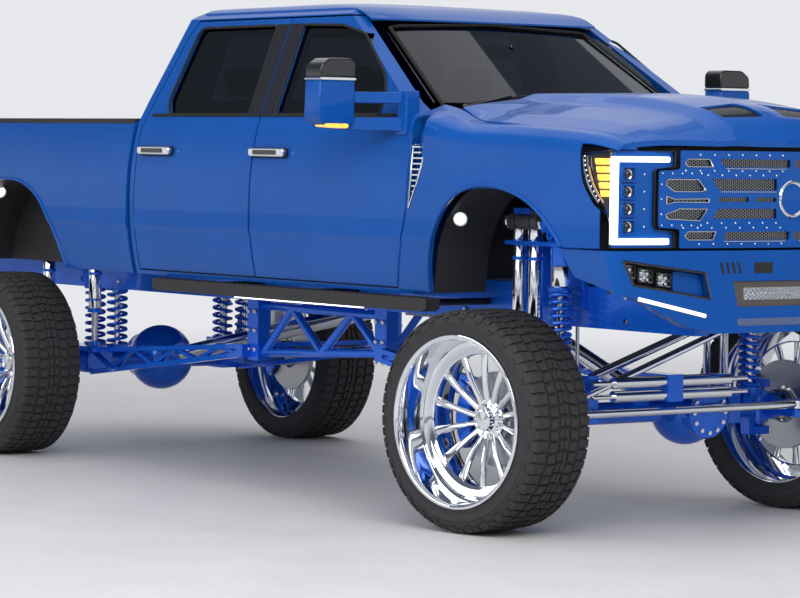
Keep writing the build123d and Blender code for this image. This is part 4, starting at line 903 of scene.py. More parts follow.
@dataclass
class BodyPanels:
    """Painted outer panels: hood, fenders, door skins, box sides and roof."""

    spacing: float = 11.0
    hood_rows: tuple = (
        # station, seam y, seam z, crease z, bulge foot z, bulge edge z, crown z
        (-450, 772, 1926, 1960, 1970, 1999, 2006), (-250, 818, 1868, 1940, 1954, 1998, 2007),
        (-50, 856, 1856, 1933, 1947, 1995, 2005), (150, 874, 1847, 1926, 1940, 1990, 2002),
        (450, 882, 1834, 1906, 1920, 1966, 1984), (650, 884, 1820, 1884, 1899, 1937, 1956),
        (740, 884, 1811, 1872, 1886, 1920, 1940), (830, 882, 1794, 1850, 1862, 1888, 1906),
        (900, 878, 1775, 1820, 1829, 1848, 1864), (950, 876, 1757, 1782, 1786, 1797, 1806),
        (985, 876, 1748, 1754, 1756, 1760, 1764),
    )
    fender_rows: tuple = (
        # station, inner edge y, inner edge z, crown y, crown z
        (-700, 788, 1946, 902, 1901), (-558, 792, 1938, 905, 1898), (-430, 800, 1916, 912, 1888),
        (-250, 826, 1866, 922, 1852), (150, 882, 1847, 942, 1828), (450, 890, 1834, 949, 1813),
        (640, 892, 1821, 951, 1800), (740, 892, 1811, 952, 1790), (850, 889, 1790, 950, 1770),
        (925, 885, 1770, 946, 1750),
    )
    front_arch: tuple = (
        # station and height along the front wheel opening, from its front end
        (586, 1308), (530, 1368), (442, 1442), (335, 1503), (180, 1551), (20, 1568),
        (-130, 1546), (-262, 1474), (-345, 1366), (-402, 1240), (-424, 1140), (-435, 1062),
    )
    rear_arch: tuple = (
        # station and height along the rear wheel opening, from its front end
        (-3750, 1062), (-3790, 1180), (-3870, 1312), (-3985, 1432), (-4140, 1506), (-4330, 1530),
        (-4520, 1506), (-4675, 1432), (-4790, 1312), (-4870, 1180), (-4910, 1062),
    )

    def build(self) -> None:
        """Builds every painted panel."""
        self._hood()
        self._fenders()
        self._door_skins()
        self._box_skins()
        self._roof()

    @staticmethod
    def _eased(corners: tuple, count: int) -> Points:
        """A smooth line through a short table of corners.

        Args:
            corners: the table, two columns.
            count: points of the line.

        Returns:
            The line.
        """
        corners = np.asarray(corners, float)
        along = np.concatenate([[0], np.cumsum(np.linalg.norm(np.diff(corners, axis=0), axis=1))])
        return smooth(along, corners, np.linspace(0, along[-1], count))

    def hood_surface(self, x: Points, y: Points, drop: float = 0.0) -> Points:
        """The hood: straight runs between the section's corners, each corner rounded by
        averaging over 36 across, the corners' heights smooth along the truck.

        Args:
            x: stations.
            y: distances to the left.
            drop: distance below the outer face.

        Returns:
            Points on the surface.
        """
        rows = np.array(self.hood_rows, float)
        levels = smooth(rows[:, 0], rows[:, 1:], np.asarray(x, float))
        shifts = np.linspace(-18, 18, 9)
        z = sum(self._section(np.abs(np.abs(y) + shift), levels) for shift in shifts)
        return joined(x, y, z / len(shifts) - drop)

    @staticmethod
    def _section(run: Points, levels: Points) -> Points:
        """Height of the hood's section of straight runs.

        Args:
            run: distances from the middle line.
            levels: the section's seam and heights, one row for each distance.

        Returns:
            The heights.
        """
        seam, low, crease, foot, edge, crown = np.moveaxis(levels, -1, 0)
        knots = [0 * seam, 0 * seam + 330, 0 * seam + 420, 0 * seam + 505,
                 505 + 0.6 * (seam - 505), seam, seam + 60]
        heights = [crown, edge, foot, crease, low + 0.52 * (crease - low), low, low - 26]
        z = heights[0]
        for k in range(len(knots) - 1):
            share = np.clip((run - knots[k]) / (knots[k + 1] - knots[k]), 0, 1)
            z = np.where(run >= knots[k], heights[k] + share * (heights[k + 1] - heights[k]), z)
        return z

    def _hood(self) -> None:
        """The hood with its raised centre, two mesh vents and turned-down front edge."""
        rows = np.array(self.hood_rows, float)
        x = np.linspace(-446, 890, 60)
        seam = smooth(rows[:, 0], rows[:, 1], x) - 2
        tip = np.linspace(875, 0, 40)
        front = joined(nose_arc(tip) - 15, tip)
        half = np.concatenate([joined(x, seam), front])
        rear = np.linspace(-770, 770, 40)[1:-1]
        back = joined(-446 - 34 * (1 - (rear / 770) ** 2), rear)
        outline = np.concatenate([half, (half * (1, -1))[::-1], back])
        vent = rounded([(640, 60), (846, 60), (838, 300), (690, 320)], 22)
        vents = [vent, (vent * (1, -1))[::-1]]
        hood = Mould("hood_shell")
        hood.panel(outline, self.hood_surface, self.spacing, (0, 0, -24), vents)
        shell = hood.finish(PAINT, "hood", sharp=40)
        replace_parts(shell, "hood")
        mesh = Mould("hood_vent_mesh")
        tray = Mould("hood_vent_tray")
        for hole in vents:
            mesh.add(*honeycomb(hole, lambda u, v: self.hood_surface(u, v, 9), 15, 2.4))
            tray.panel(hole, lambda u, v: self.hood_surface(u, v, 20), 30, (0, 0, -3))
        mesh.finish(GLOSS_BLACK, "hood")
        tray.finish(SEAL, "hood")

    def fender_surface(self, x: Points, v: Points) -> Points:
        """The right fender: v is the height up to 1640, then runs over shoulder and crown to the
        hood seam at 1860. A smooth curve through each section's corners, which are smooth along
        the truck.

        Args:
            x: stations.
            v: the run up the section.

        Returns:
            Points on the surface.
        """
        rows = np.array(self.fender_rows, float)
        x, v = np.asarray(x, float), np.asarray(v, float)
        edge_y, edge_z, crown_y, crown_z = np.moveaxis(smooth(rows[:, 0], rows[:, 1:], x), -1, 0)
        knots = np.array([1040, 1180, 1306, 1400, 1520, 1640, 1710, 1770, 1860])
        flat = np.zeros_like(x)
        low = [body_half(z) + side_relief(z) + flat for z in knots[:6]]
        ys = low + [flat + 984, crown_y, edge_y]
        zs = [z + flat for z in knots[:6]] + [crown_z - 46, crown_z, edge_z]
        table = joined(np.stack(ys, -1), np.stack(zs, -1))
        slopes = np.gradient(table, knots, axis=1)
        k = np.clip(np.searchsorted(knots, v, side="right") - 1, 0, len(knots) - 2)
        i = np.arange(len(x))
        run = (knots[k + 1] - knots[k])[:, None]
        t = ((v - knots[k]) / (knots[k + 1] - knots[k]))[:, None]
        point = cubic(t, run, (table[i, k], slopes[i, k], table[i, k + 1], slopes[i, k + 1]))
        y = np.where(v < 1620, body_half(v) + side_relief(v), point[:, 0])
        corner = nose_plan(-np.minimum(y, NOSE_HALF - 1), np.full_like(v, 1700), 6)
        round_y = np.maximum(NOSE_CORNER ** 2 - (y - NOSE_HALF + NOSE_CORNER) ** 2, 0)
        limit = np.where(y > 930, 845 + np.sqrt(round_y), corner[..., 0])
        return joined(np.minimum(x, limit), -y, point[:, 1])

    def _fenders(self) -> None:
        """Both front fenders, cut for wheel, lamp and bumper, with rolled arch lips and vents."""
        arch = self._eased(self.front_arch, 60)
        outline = np.concatenate([
            [(-668, 1064), (-640, 1180), (-600, 1300), (-572, 1380), (-558, 1450), (-558, 1780)],
            [(-558, 1860)], joined(np.linspace(-500, 912, 50), np.full(50, 1860)),
            [(920, 1820), (920, 1762), (905, 1742), (850, 1736), (740, 1729), (684, 1724)],
            [(680, 1700), (690, 1658), (717, 1600), (760, 1544), (803, 1499), (838, 1481),
             (872, 1461), (884, 1420), (884, 1312)], arch])
        vent = rounded([(-548, 1748), (-470, 1752), (-452, 1700), (-492, 1560), (-542, 1450)], 10)
        fenders = Mould("fender_shells")
        fenders.panel(outline, self.fender_surface, self.spacing, (0, 5, -4), [vent])
        fenders.panel([(868, 1739), (1002, 1739), (968, 1748), (940, 1757), (900, 1768), (868, 1773)],
                      lambda s, z: nose_plan(-s, z, 7), 6, (-4, 0, 0))
        fenders.both_sides()
        shell = fenders.finish(PAINT, sharp=38)
        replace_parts(shell, "front_fenders")
        lips = Mould("arch_lips")
        for line in (arch, self._eased(self.rear_arch, 80)):
            skin = -(body_half(line[:, 1]) + side_relief(line[:, 1]))
            path = joined(line[:, 0], skin - 1, line[:, 1] + 3)
            lips.tube(path, 9, 12, up=(0, 1, 0))
            inner = path + (0, 26, 4)
            lips.grid(np.stack([path + (0, 4, 0), inner], 1))
            lips.grid(np.stack([inner + (0, 0, 3), path + (0, 4, 3)], 1))
        lips.both_sides().finish(PAINT)
        slats, frames = Mould("fender_vent_slats"), Mould("fender_vent_frames")
        for z in np.arange(1478, 1740, 26):
            lean = -540 + (z - 1450) * 0.02
            reach = smooth(np.array([1450, 1560, 1700, 1750]),
                           np.array([-528, -496, -462, -474]), np.array([z]))[0]
            slats.bar((lean, -990, z), (reach, -990, z), 22, 7)
        edge = np.concatenate([vent, vent[:1]])
        path = joined(edge[:, 0], -(body_half(edge[:, 1]) + 4), edge[:, 1])
        frames.tube(path, 4.5, 8, up=(0, 1, 0))
        slats.both_sides().finish(CHROME)
        frames.both_sides().finish(CHROME)

    def _door_skins(self) -> None:
        """The pressed lower skins of the four doors."""
        front = [(-690, 1086), (-612, 1302), (-571, 1450), (-571, 1780), (-590, 1886),
                 (-1878, 1886), (-1878, 1086)]
        rear = [(-1894, 1086), (-1894, 1886), (-2950, 1886), (-2974, 1800), (-2974, 1086)]
        for name, outline in (("front_door", front), ("rear_door", rear)):
            skin = Mould(f"{name}_skin_right")
            skin.panel(rounded(outline, 12), right_skin, self.spacing, (0, 4, 0))
            skin.mirrored(f"{name}_skin_left").finish(PAINT, f"{name}_left")
            skin.finish(PAINT, f"{name}_right")

    def _box_skins(self) -> None:
        """The cargo box's side skins with the wheel openings cut."""
        arch = self._eased(self.rear_arch, 80)
        outline = np.concatenate([[(-3059, 1056), (-3059, 1846), (-5497, 1846), (-5497, 1802),
                                   (-5442, 1802), (-5442, 1438), (-5497, 1438), (-5497, 1056)],
                                  arch[::-1]])
        skin = Mould("box_side_skins")
        skin.panel(outline, right_skin, self.spacing, (0, 4, 0))
        skin.both_sides().finish(PAINT)
        caps = Mould("box_rail_caps")
        section = rounded([(-962, 1838), (-962, 1868), (-846, 1868), (-846, 1838)], 12)
        stations = np.linspace(-3062, -5494, 30)
        columns = np.broadcast_arrays(stations[:, None], section[:, 0], section[:, 1])
        caps.capped(np.stack(columns, -1)).both_sides().finish(PLASTIC)

    def _roof(self) -> None:
        """The roof's outer skin: the lower of its profile along and its section across, with the
        fold between them rounded by a smooth minimum, and its front edge bowed like the screen."""
        stations = np.array([-2772, -2640, -2450, -2270, -2090, -1900, -1720, -1570, -1430, -1330, -1250])
        profile = np.array([2446, 2460, 2469, 2472, 2470, 2461, 2448, 2436, 2418, 2389, 2357])
        across = np.array([0, 190, 370, 540, 680, 750])
        section = np.array([2472, 2468.5, 2459, 2443, 2425, 2388])

        def surface(x: Points, share: Points) -> Points:
            """The smooth minimum is minus eight times the log of both exponentials' sum.

            Args:
                x: stations.
                share: share of the half width, its sign the side's.

            Returns:
                Points on the skin.
            """
            y = share * 706
            heights = smooth(stations, profile, x), smooth(across, section, np.abs(y))
            z = -8 * np.logaddexp(-heights[0] / 8, -heights[1] / 8)
            bow = (46 * (1 - share ** 2) - 30) * np.clip((x + 1420) / 170, 0, 1)
            return joined(x + bow, y, z + 7)

        x, share = np.meshgrid(np.linspace(-2772, -1250, 110), np.linspace(-1, 1, 90), indexing="ij")
        top = surface(x.ravel(), share.ravel()).reshape(110, 90, 3)
        roof = Mould("roof_skin")
        roof.add(np.concatenate([top.reshape(-1, 3), top.reshape(-1, 3) - (0, 0, 9)]),
                 *self._closed_sheet(110, 90))
        roof.finish(PAINT, sharp=45)

    @staticmethod
    def _closed_sheet(rows: int, columns: int) -> tuple[Points, Points, Points]:
        """Faces of two layers of a grid and of the rim between them.

        Args:
            rows: points along the first parameter.
            columns: points along the second parameter.

        Returns:
            The outer layer, the inner layer and the rim.
        """
        n = rows * columns
        top = grid_faces(rows, columns, False, False)
        ids = np.arange(n).reshape(rows, columns)
        ring = np.concatenate([ids[0], ids[1:, -1], ids[-1, -2::-1], ids[-2:0:-1, 0]])
        after = np.roll(ring, -1)
        return top, top[:, ::-1] + n, joined(ring, after, after + n, ring + n)


def honeycomb(outline: Points, surface: Surface, pitch: float, strand: float) -> tuple:
    """A mesh of six-sided openings inside an outline: each strand of the pattern is a flat bar
    between two corners of the honeycomb, kept when both its ends are inside.

    Args:
        outline: the outline in the surface's two parameters.
        surface: turns the two parameters into points.
        pitch: distance between opening middles.
        strand: width of a strand.

    Returns:
        The points, and the faces of the bars.
    """
    side = pitch / 3 ** 0.5
    low, high = outline.min(0), outline.max(0)
    columns = np.arange(-1, int((high[0] - low[0]) / (1.5 * side)) + 2)
    rows = np.arange(-1, int((high[1] - low[1]) / pitch) + 2)
    c, r = np.meshgrid(columns, rows, indexing="ij")
    middle = joined(low[0] + c * 1.5 * side, low[1] + (r + 0.5 * (c % 2)) * pitch)
    turn = np.arange(4) * pi / 3
    corner = middle[..., None, :] + side * joined(np.cos(turn), np.sin(turn))
    start, end = (corner[..., k, :].reshape(-1, 2) for k in (slice(0, 3), slice(1, 4)))
    keep = inside(outline, start) & inside(outline, end)
    start, end = start[keep], end[keep]
    along = (end - start) / np.linalg.norm(end - start, axis=1)[:, None]
    across = joined(-along[:, 1], along[:, 0]) * strand / 2
    flat = np.stack([start - across, end - across, end + across, start + across], 1)
    points = surface(flat[..., 0].ravel(), flat[..., 1].ravel()).reshape(-1, 4, 3)
    normal = np.cross(points[:, 1] - points[:, 0], points[:, 3] - points[:, 0])
    normal /= np.linalg.norm(normal, axis=1)[:, None] + 1e-9
    behind = points - normal[:, None] * strand
    both = np.concatenate([points, behind], axis=1).reshape(-1, 3)
    first = np.arange(len(points))[:, None] * 8
    return (both, *(first + np.array(side) for side in CELL_SIDES))


@dataclass(frozen=True)
class Corner:
    """One wheel's corner: its name, side, and whether it steers."""

    name: str
    left: bool
    steered: bool
    carrier: str

    def place(self, points: Points) -> Points:
        """Puts points drawn as station, distance outwards from the middle line, and height on
        this corner, turned about the kingpin to the rest angle where it steers.

        Args:
            points: three columns.

        Returns:
            The placed points.
        """
        side = 1 if self.left else -1
        placed = np.array(points, float)
        placed[..., 1] *= side
        if not self.steered:
            return placed - (WHEELBASE, 0, 0)
        turn, pin = radians(REST_STEER), side * KINGPIN
        x, y = placed[..., 0].copy(), placed[..., 1] - pin
        placed[..., 0] = x * cos(turn) - y * sin(turn)
        placed[..., 1] = x * sin(turn) + y * cos(turn) + pin
        return placed


CORNERS = (
    Corner("front_right", False, True, "knuckle_right"), Corner("front_left", True, True, "knuckle_left"),
    Corner("rear_right", False, False, CHASSIS), Corner("rear_left", True, False, CHASSIS),
)


@dataclass
class Wheels:
    """Chrome wheels with a deep lip, blade spokes and hub, and the brakes behind them."""

    face: float = 1175.0
    spokes: int = 14
    rim: tuple = (
        # radius and distance outwards of the face, round the rim's closed section
        (395, -4), (395.5, 14), (393, 18.5), (388, 20), (380, 19), (374, 15), (371.5, 8),
        (370, -4), (368, -60), (366, -138), (362, -146), (352, -150), (322, -152), (314, -147),
        (308, -146), (302, -150), (300, -158), (300, -184), (306, -190), (360, -188),
        (372, -200), (372, -330), (378, -338), (393, -341), (395, -334), (392, -329), (380, -322),
        (380, -40), (384, -12),
    )
    hub: tuple = (
        (34, -350), (60, -346), (74, -330), (76, -240), (80, -216), (92, -206), (94, -198),
        (84, -192), (60, -190), (54, -186), (52, -166), (50, -160), (46, -158), (42, -160),
        (40, -164), (22, -163), (0.5, -161), (0.5, -220), (34, -222),
    )

    def build(self) -> None:
        """Builds wheel, brake disc and calliper at every corner."""
        for corner in CORNERS:
            self._wheel(corner)
            self._brake(corner)

    def _ring(self, mould: Mould, section: Points, sides: int) -> Mould:
        """Turns a section of radius and outward distance about the wheel's axis."""
        return mould.turned(np.asarray(section, float), (0, self.face, AXLE_Z), (0, 1, 0), sides)

    def _wheel(self, corner: Corner) -> None:
        """The rim, its blades and the hub with its nuts.

        Args:
            corner: where the wheel sits.
        """
        wheel = Mould(f"chrome_wheel_{corner.name}")
        self._ring(wheel, self.rim, 128)
        self._ring(wheel, self.hub, 64)
        self._blades(wheel)
        for index in range(8):
            angle = (index + 0.5) * 2 * pi / 8
            nut = (70 * sin(angle), self.face - 205, AXLE_Z + 70 * cos(angle))
            wheel.turned([(7.5, 0), (7.5, 17), (5, 21), (0.2, 22), (0.2, 0)], nut, (0, 1, 0), 6)
        made = wheel.moved(corner.place).finish(CHROME, f"wheel_{corner.name}", sharp=38)
        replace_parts(made, f"wheel_{corner.name}")

    def _blades(self, wheel: Mould) -> None:
        """Blade spokes: a lens-shaped section carried from hub to step ring, widening outwards
        and twisting by 34 degrees, bowed towards the face in the middle.

        Args:
            wheel: the mould that takes them.
        """
        share = np.linspace(0, 1, 12)
        turn = np.arange(12) * 2 * pi / 12
        width = 12 + 7 * share + 5 * share ** 4
        deep = 20 - 7 * share
        twist = radians(34) * (1 - share)
        lens = joined(np.cos(turn), np.sin(turn) * (0.6 + 0.4 * np.abs(np.sin(turn))))
        across = lens[None, :, 0] * width[:, None]
        ahead = lens[None, :, 1] * deep[:, None]
        side = across * np.cos(twist)[:, None] - ahead * np.sin(twist)[:, None]
        out = across * np.sin(twist)[:, None] + ahead * np.cos(twist)[:, None]
        radius = (72 + 238 * share)[:, None] + 0 * side
        level = (-206 + 36 * share + 10 * np.sin(pi * share))[:, None]
        for index in range(self.spokes):
            angle = index * 2 * pi / self.spokes
            x = radius * sin(angle) + side * cos(angle)
            z = AXLE_Z + radius * cos(angle) - side * sin(angle)
            wheel.grid(joined(x, self.face + level + out, z), wrap_columns=True)

    def _brake(self, corner: Corner) -> None:
        """A plain disc on the wheel and a blue calliper on what carries the wheel.

        Args:
            corner: where they sit.
        """
        disc = Mould(f"brake_disc_{corner.name}")
        self._ring(disc, [(90, -250), (215, -250), (217, -253), (217, -272), (215, -275), (90, -275)], 72)
        disc.moved(corner.place).finish(STEEL, f"wheel_{corner.name}")
        calliper = Mould(f"brake_calliper_{corner.name}")
        angle = np.radians(np.linspace(-128, -52, 18))[:, None]
        section = np.array([(150, -222), (168, -216), (222, -216), (236, -226), (238, -300),
                            (228, -310), (170, -310), (150, -300), (150, -284), (221, -281),
                            (221, -244), (150, -241)], float)
        radius, level = section[None, :, 0], section[None, :, 1]
        arc = joined(radius * np.sin(angle), self.face + level, AXLE_Z + radius * np.cos(angle))
        calliper.capped(arc)
        calliper.block((-200, self.face - 330, AXLE_Z - 34), (-30, self.face - 306, AXLE_Z + 34))
        calliper.moved(corner.place).finish(CANDY, corner.carrier, bevel=3)


@dataclass
class Tyres:
    """Mud-terrain tyres: a carcass with ribbed walls, tread blocks and shoulder lugs."""

    face: float = 1175.0
    middle: float = -173.5
    pitches: int = 30
    tread_radius: float = 506.0
    carcass: tuple = (
        # radius and distance outwards of the face, for the outer half
        (380.4, -20), (380.4, 4), (386, 6), (396, 6), (401, 10), (407, 10.5), (410, 8),
        (414, 7), (424, 9.5), (440, 10.5), (443, 13), (448, 13), (451, 9), (463, 5.5),
        (476, 0), (486, -8), (490.5, -20), (492, -60), (493, -120),
    )
    blocks: tuple = (
        # corners round the circumference and from the middle of the tread, outer half
        ((4, 100), (46, 96), (50, 156), (2, 156)), ((57, 104), (101, 100), (98, 148), (60, 148)),
        ((10, 34), (50, 44), (58, 90), (14, 86)), ((66, 46), (104, 34), (108, 84), (70, 92)),
        ((0, 3), (42, 3), (48, 26), (6, 24)), ((54, 3), (94, 3), (98, 32), (58, 24)),
    )
    lugs: tuple = (
        # corners round the circumference and radius, on the side wall
        ((3, 468), (48, 468), (52, 502), (0, 502)), ((60, 484), (99, 484), (100, 500), (58, 500)),
        ((12, 454), (40, 454), (44, 466), (8, 466)),
    )

    def build(self) -> None:
        """Builds one tyre at every corner."""
        for corner in CORNERS:
            tyre = Mould(f"mud_tyre_{corner.name}")
            half = np.array(self.carcass, float)
            other = half[::-1] * (1, -1) + (0, 2 * self.middle)
            tyre.turned(np.concatenate([half, other]), (0, self.face, AXLE_Z), (0, 1, 0), 144)
            self._blocks(tyre)
            self._lugs(tyre)
            made = tyre.moved(corner.place).finish(RUBBER, f"wheel_{corner.name}", sharp=30)
            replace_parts(made, f"tyre_{corner.name}")

    def _repeat(self, shapes: Points) -> Points:
        """Copies every shape once for each pitch round the tyre, along the first coordinate.

        Args:
            shapes: four corners each, two columns.

        Returns:
            All the copies.
        """
        pitch = 2 * pi * self.tread_radius / self.pitches
        steps = np.arange(self.pitches)[:, None, None] * pitch
        copies = np.repeat(shapes[None], self.pitches, axis=0)
        copies[..., 0] += steps
        return copies.reshape(-1, 4, 2)

    @staticmethod
    def _solid_cells(tyre: Mould, low: Points, high: Points) -> None:
        """Adds closed four-sided cells.

        Args:
            tyre: the mould that takes them.
            low: the cells' corners on the carcass.
            high: their corners at the top.
        """
        both = np.concatenate([low, high], axis=1).reshape(-1, 3)
        first = np.arange(len(low))[:, None] * 8
        tyre.add(both, *(first + np.array(side) for side in CELL_SIDES))

    def _round(self, along: Points, radius: Points, level: Points) -> Points:
        """Bends a flat drawing round the wheel's axis.

        Args:
            along: distance round the tread circle.
            radius: distance from the axis.
            level: distance outwards of the wheel's face.

        Returns:
            The points.
        """
        angle = along / self.tread_radius
        return joined(radius * np.sin(angle), self.face + level, AXLE_Z + radius * np.cos(angle))

    def _blocks(self, tyre: Mould) -> None:
        """Tread blocks: each outline stands on the carcass and shrinks by a tenth to its top,
        which falls off towards the shoulder with the cube of its distance out.

        Args:
            tyre: the mould that takes them.
        """
        half = np.array(self.blocks, float)
        shift = np.pi * self.tread_radius / self.pitches
        other = half * (1, -1) + (shift, 0)
        cells = self._repeat(np.concatenate([half, other[:, ::-1]]))
        middle = cells.mean(axis=1, keepdims=True)
        top = middle + (cells - middle) * 0.9
        fall = 9 * (np.abs(top[..., 1]) / 156) ** 3
        low = self._round(cells[..., 0], np.full(cells.shape[:2], 486), self.middle + cells[..., 1])
        high = self._round(top[..., 0], self.tread_radius - fall, self.middle + top[..., 1])
        self._solid_cells(tyre, low, high)

    def _lugs(self, tyre: Mould) -> None:
        """Shoulder lugs on both walls, standing a few millimetres off the wall.

        Args:
            tyre: the mould that takes them.
        """
        wall = np.array(self.carcass, float)[13:]
        for side in (1, -1):
            cells = self._repeat(np.array(self.lugs, float))
            if side < 0:
                cells[..., 0] += np.pi * self.tread_radius / self.pitches
            level = np.interp(cells[..., 1], wall[:, 0], wall[:, 1])
            level = np.where(cells[..., 1] > 492, -22, level)
            middle = cells.mean(axis=1, keepdims=True)
            top = middle + (cells - middle) * 0.88
            raised = np.interp(top[..., 1], [450, 470, 486, 502], [12.5, 9, 2, -12])
            for_side = [self.middle + side * (v - self.middle) for v in (level - 6, raised)]
            self._solid_cells(tyre, self._round(cells[..., 0], cells[..., 1], for_side[0]),
                              self._round(top[..., 0], top[..., 1], for_side[1]))


@dataclass
class Suspension:
    """Coil springs, shock collars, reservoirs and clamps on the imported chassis."""

    springs: tuple = (
        # station, half width, low z, high z, coil radius, wire radius, turns
        (66, 585, 600, 1096, 46, 9, 16),
        (-4323, 432, 600, 914, 52, 9, 7.5), (-4085, 432, 600, 914, 52, 9, 7.5),
    )
    shocks: tuple = (
        # station, half width, low z, high z, body radius
        (-240, 585, 596, 1290, 34), (-120, 585, 596, 1290, 34),
        (-4560, 600, 596, 1068, 34), (-4050, 600, 596, 1068, 34),
    )

    def build(self) -> None:
        """Builds everything on both sides."""
        coils, cores, collars = Mould("coil_springs"), Mould("spring_cores"), Mould("shock_collars")
        for x, half, low, high, radius, wire, turns in self.springs:
            t = np.linspace(0, 1, int(turns * 26))
            angle = t * turns * 2 * pi
            rise = low + wire + (high - low - 2 * wire) * np.clip((t - 0.04) / 0.92, 0, 1)
            path = joined(x + radius * np.cos(angle), -half + radius * np.sin(angle), rise)
            coils.tube(path, wire, 10)
            cores.tube([(x, -half, low - 2), (x, -half, 0.5 * (low + high)), (x, -half, high)], 17, 20,
                       up=(1, 0, 0))
            for z, deep in ((low - 3, 10), (high - 6, 12)):
                collars.turned([(radius + 12, 0), (radius + 12, deep), (8, deep), (8, 0)],
                               (x, -half, z), (0, 0, 1), 40)
        for x, half, low, high, radius in self.shocks:
            waist = low + 0.42 * (high - low)
            for z, grow, deep in ((waist - 6, 7, 22), (high - 70, 5, 16), (low + 2, -4, 26),
                                  (waist + 60, 4, 10)):
                collars.turned([(radius + grow, 0), (radius + grow, deep), (10, deep), (10, 0)],
                               (x, -half, z), (0, 0, 1), 40)
        cores.turned([(41, 0), (44, 6), (44, 100), (12, 104), (12, 0)], (66, -585, 1098), (0, 0, 1), 48)
        collars.turned([(47, 0), (49, 5), (49, 84), (44, 92), (8, 96), (8, 0)], (66, -585, 1200),
                       (0, 0, 1), 40)
        for x in (-240, -120):
            cores.turned([(15, 0), (15, 64), (22, 68), (22, 96), (6, 98), (6, 0)], (x, -585, 1290),
                         (0, 0, 1), 28)
        self._accumulator(collars)
        spring_set = coils.both_sides().finish(CANDY)
        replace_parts(spring_set, "springs")
        cores.both_sides().finish(CHROME)
        collars.both_sides().finish(CANDY, bevel=1.5)
        self._fasteners()

    @staticmethod
    def _accumulator(brackets: Mould) -> None:
        """The lying oil cylinder over the front shocks, with end caps, saddle and clevis.

        Args:
            brackets: the mould that takes the painted saddle and clevis.
        """
        body, ends = Mould("front_accumulators"), Mould("accumulator_ends")
        body.turned([(34, 0), (36, 4), (36, 216), (34, 220), (4, 220), (4, 0)], (-262, -618, 1398),
                    (1, 0, 0), 40)
        for x in (-284, -42):
            ends.turned([(34, 0), (39, 4), (39, 20), (34, 24), (4, 24), (4, 0)], (x, -618, 1398),
                        (1, 0, 0), 40)
        for x in (-205, -95):
            ends.turned([(38, 0), (38, 12), (34, 12), (34, 0)], (x, -618, 1398), (1, 0, 0), 40)
        ends.tube([(-240, -618, 1438), (-150, -622, 1446), (-60, -618, 1440)], 9, 12, up=(0, 1, 0))
        brackets.block((-222, -640, 1434), (-112, -596, 1462))
        brackets.block((-22, -636, 1352), (62, -620, 1404))
        brackets.block((-22, -582, 1352), (62, -566, 1404))
        brackets.turned([(24, -4), (24, 60), (8, 60), (8, -4)], (32, -572, 1340), (0, -1, 0), 28)
        brackets.block((8, -616, 1296), (58, -588, 1340))
        body.both_sides().finish(IRON)
        ends.both_sides().finish(CHROME)

    def _fasteners(self) -> None:
        """Bolt heads on hangers, axle brackets, covers and frame."""
        bolts = Mould("chassis_bolts")
        head = [(13, 0), (13, 9), (10, 12), (0.3, 12), (0.3, 0)]
        spots = [(x, -472, z) for x in (-2680, -2620, -1530, -1470) for z in (660, 760, 860)]
        spots += [(x, -471, z) for x in range(-5200, 800, 400) for z in (960, 1070)]
        for x, y, z in spots:
            bolts.turned(head, (x, y, z), (0, -1, 0), 6)
        bolts.both_sides()
        for index in range(12):
            angle = index * pi / 6
            bolts.turned(head, (194, 220 + 96 * cos(angle), AXLE_Z + 96 * sin(angle)), (1, 0, 0), 6)
            bolts.turned(head, (-WHEELBASE - 190, 106 * cos(angle), AXLE_Z + 106 * sin(angle)),
                         (-1, 0, 0), 6)
        bolts.finish(CHROME)


def nose(inset: float) -> Surface:
    """The right half of the nose's face at an inset, as a surface for panels."""
    return lambda s, z: nose_plan(-np.asarray(s, float), z, inset)


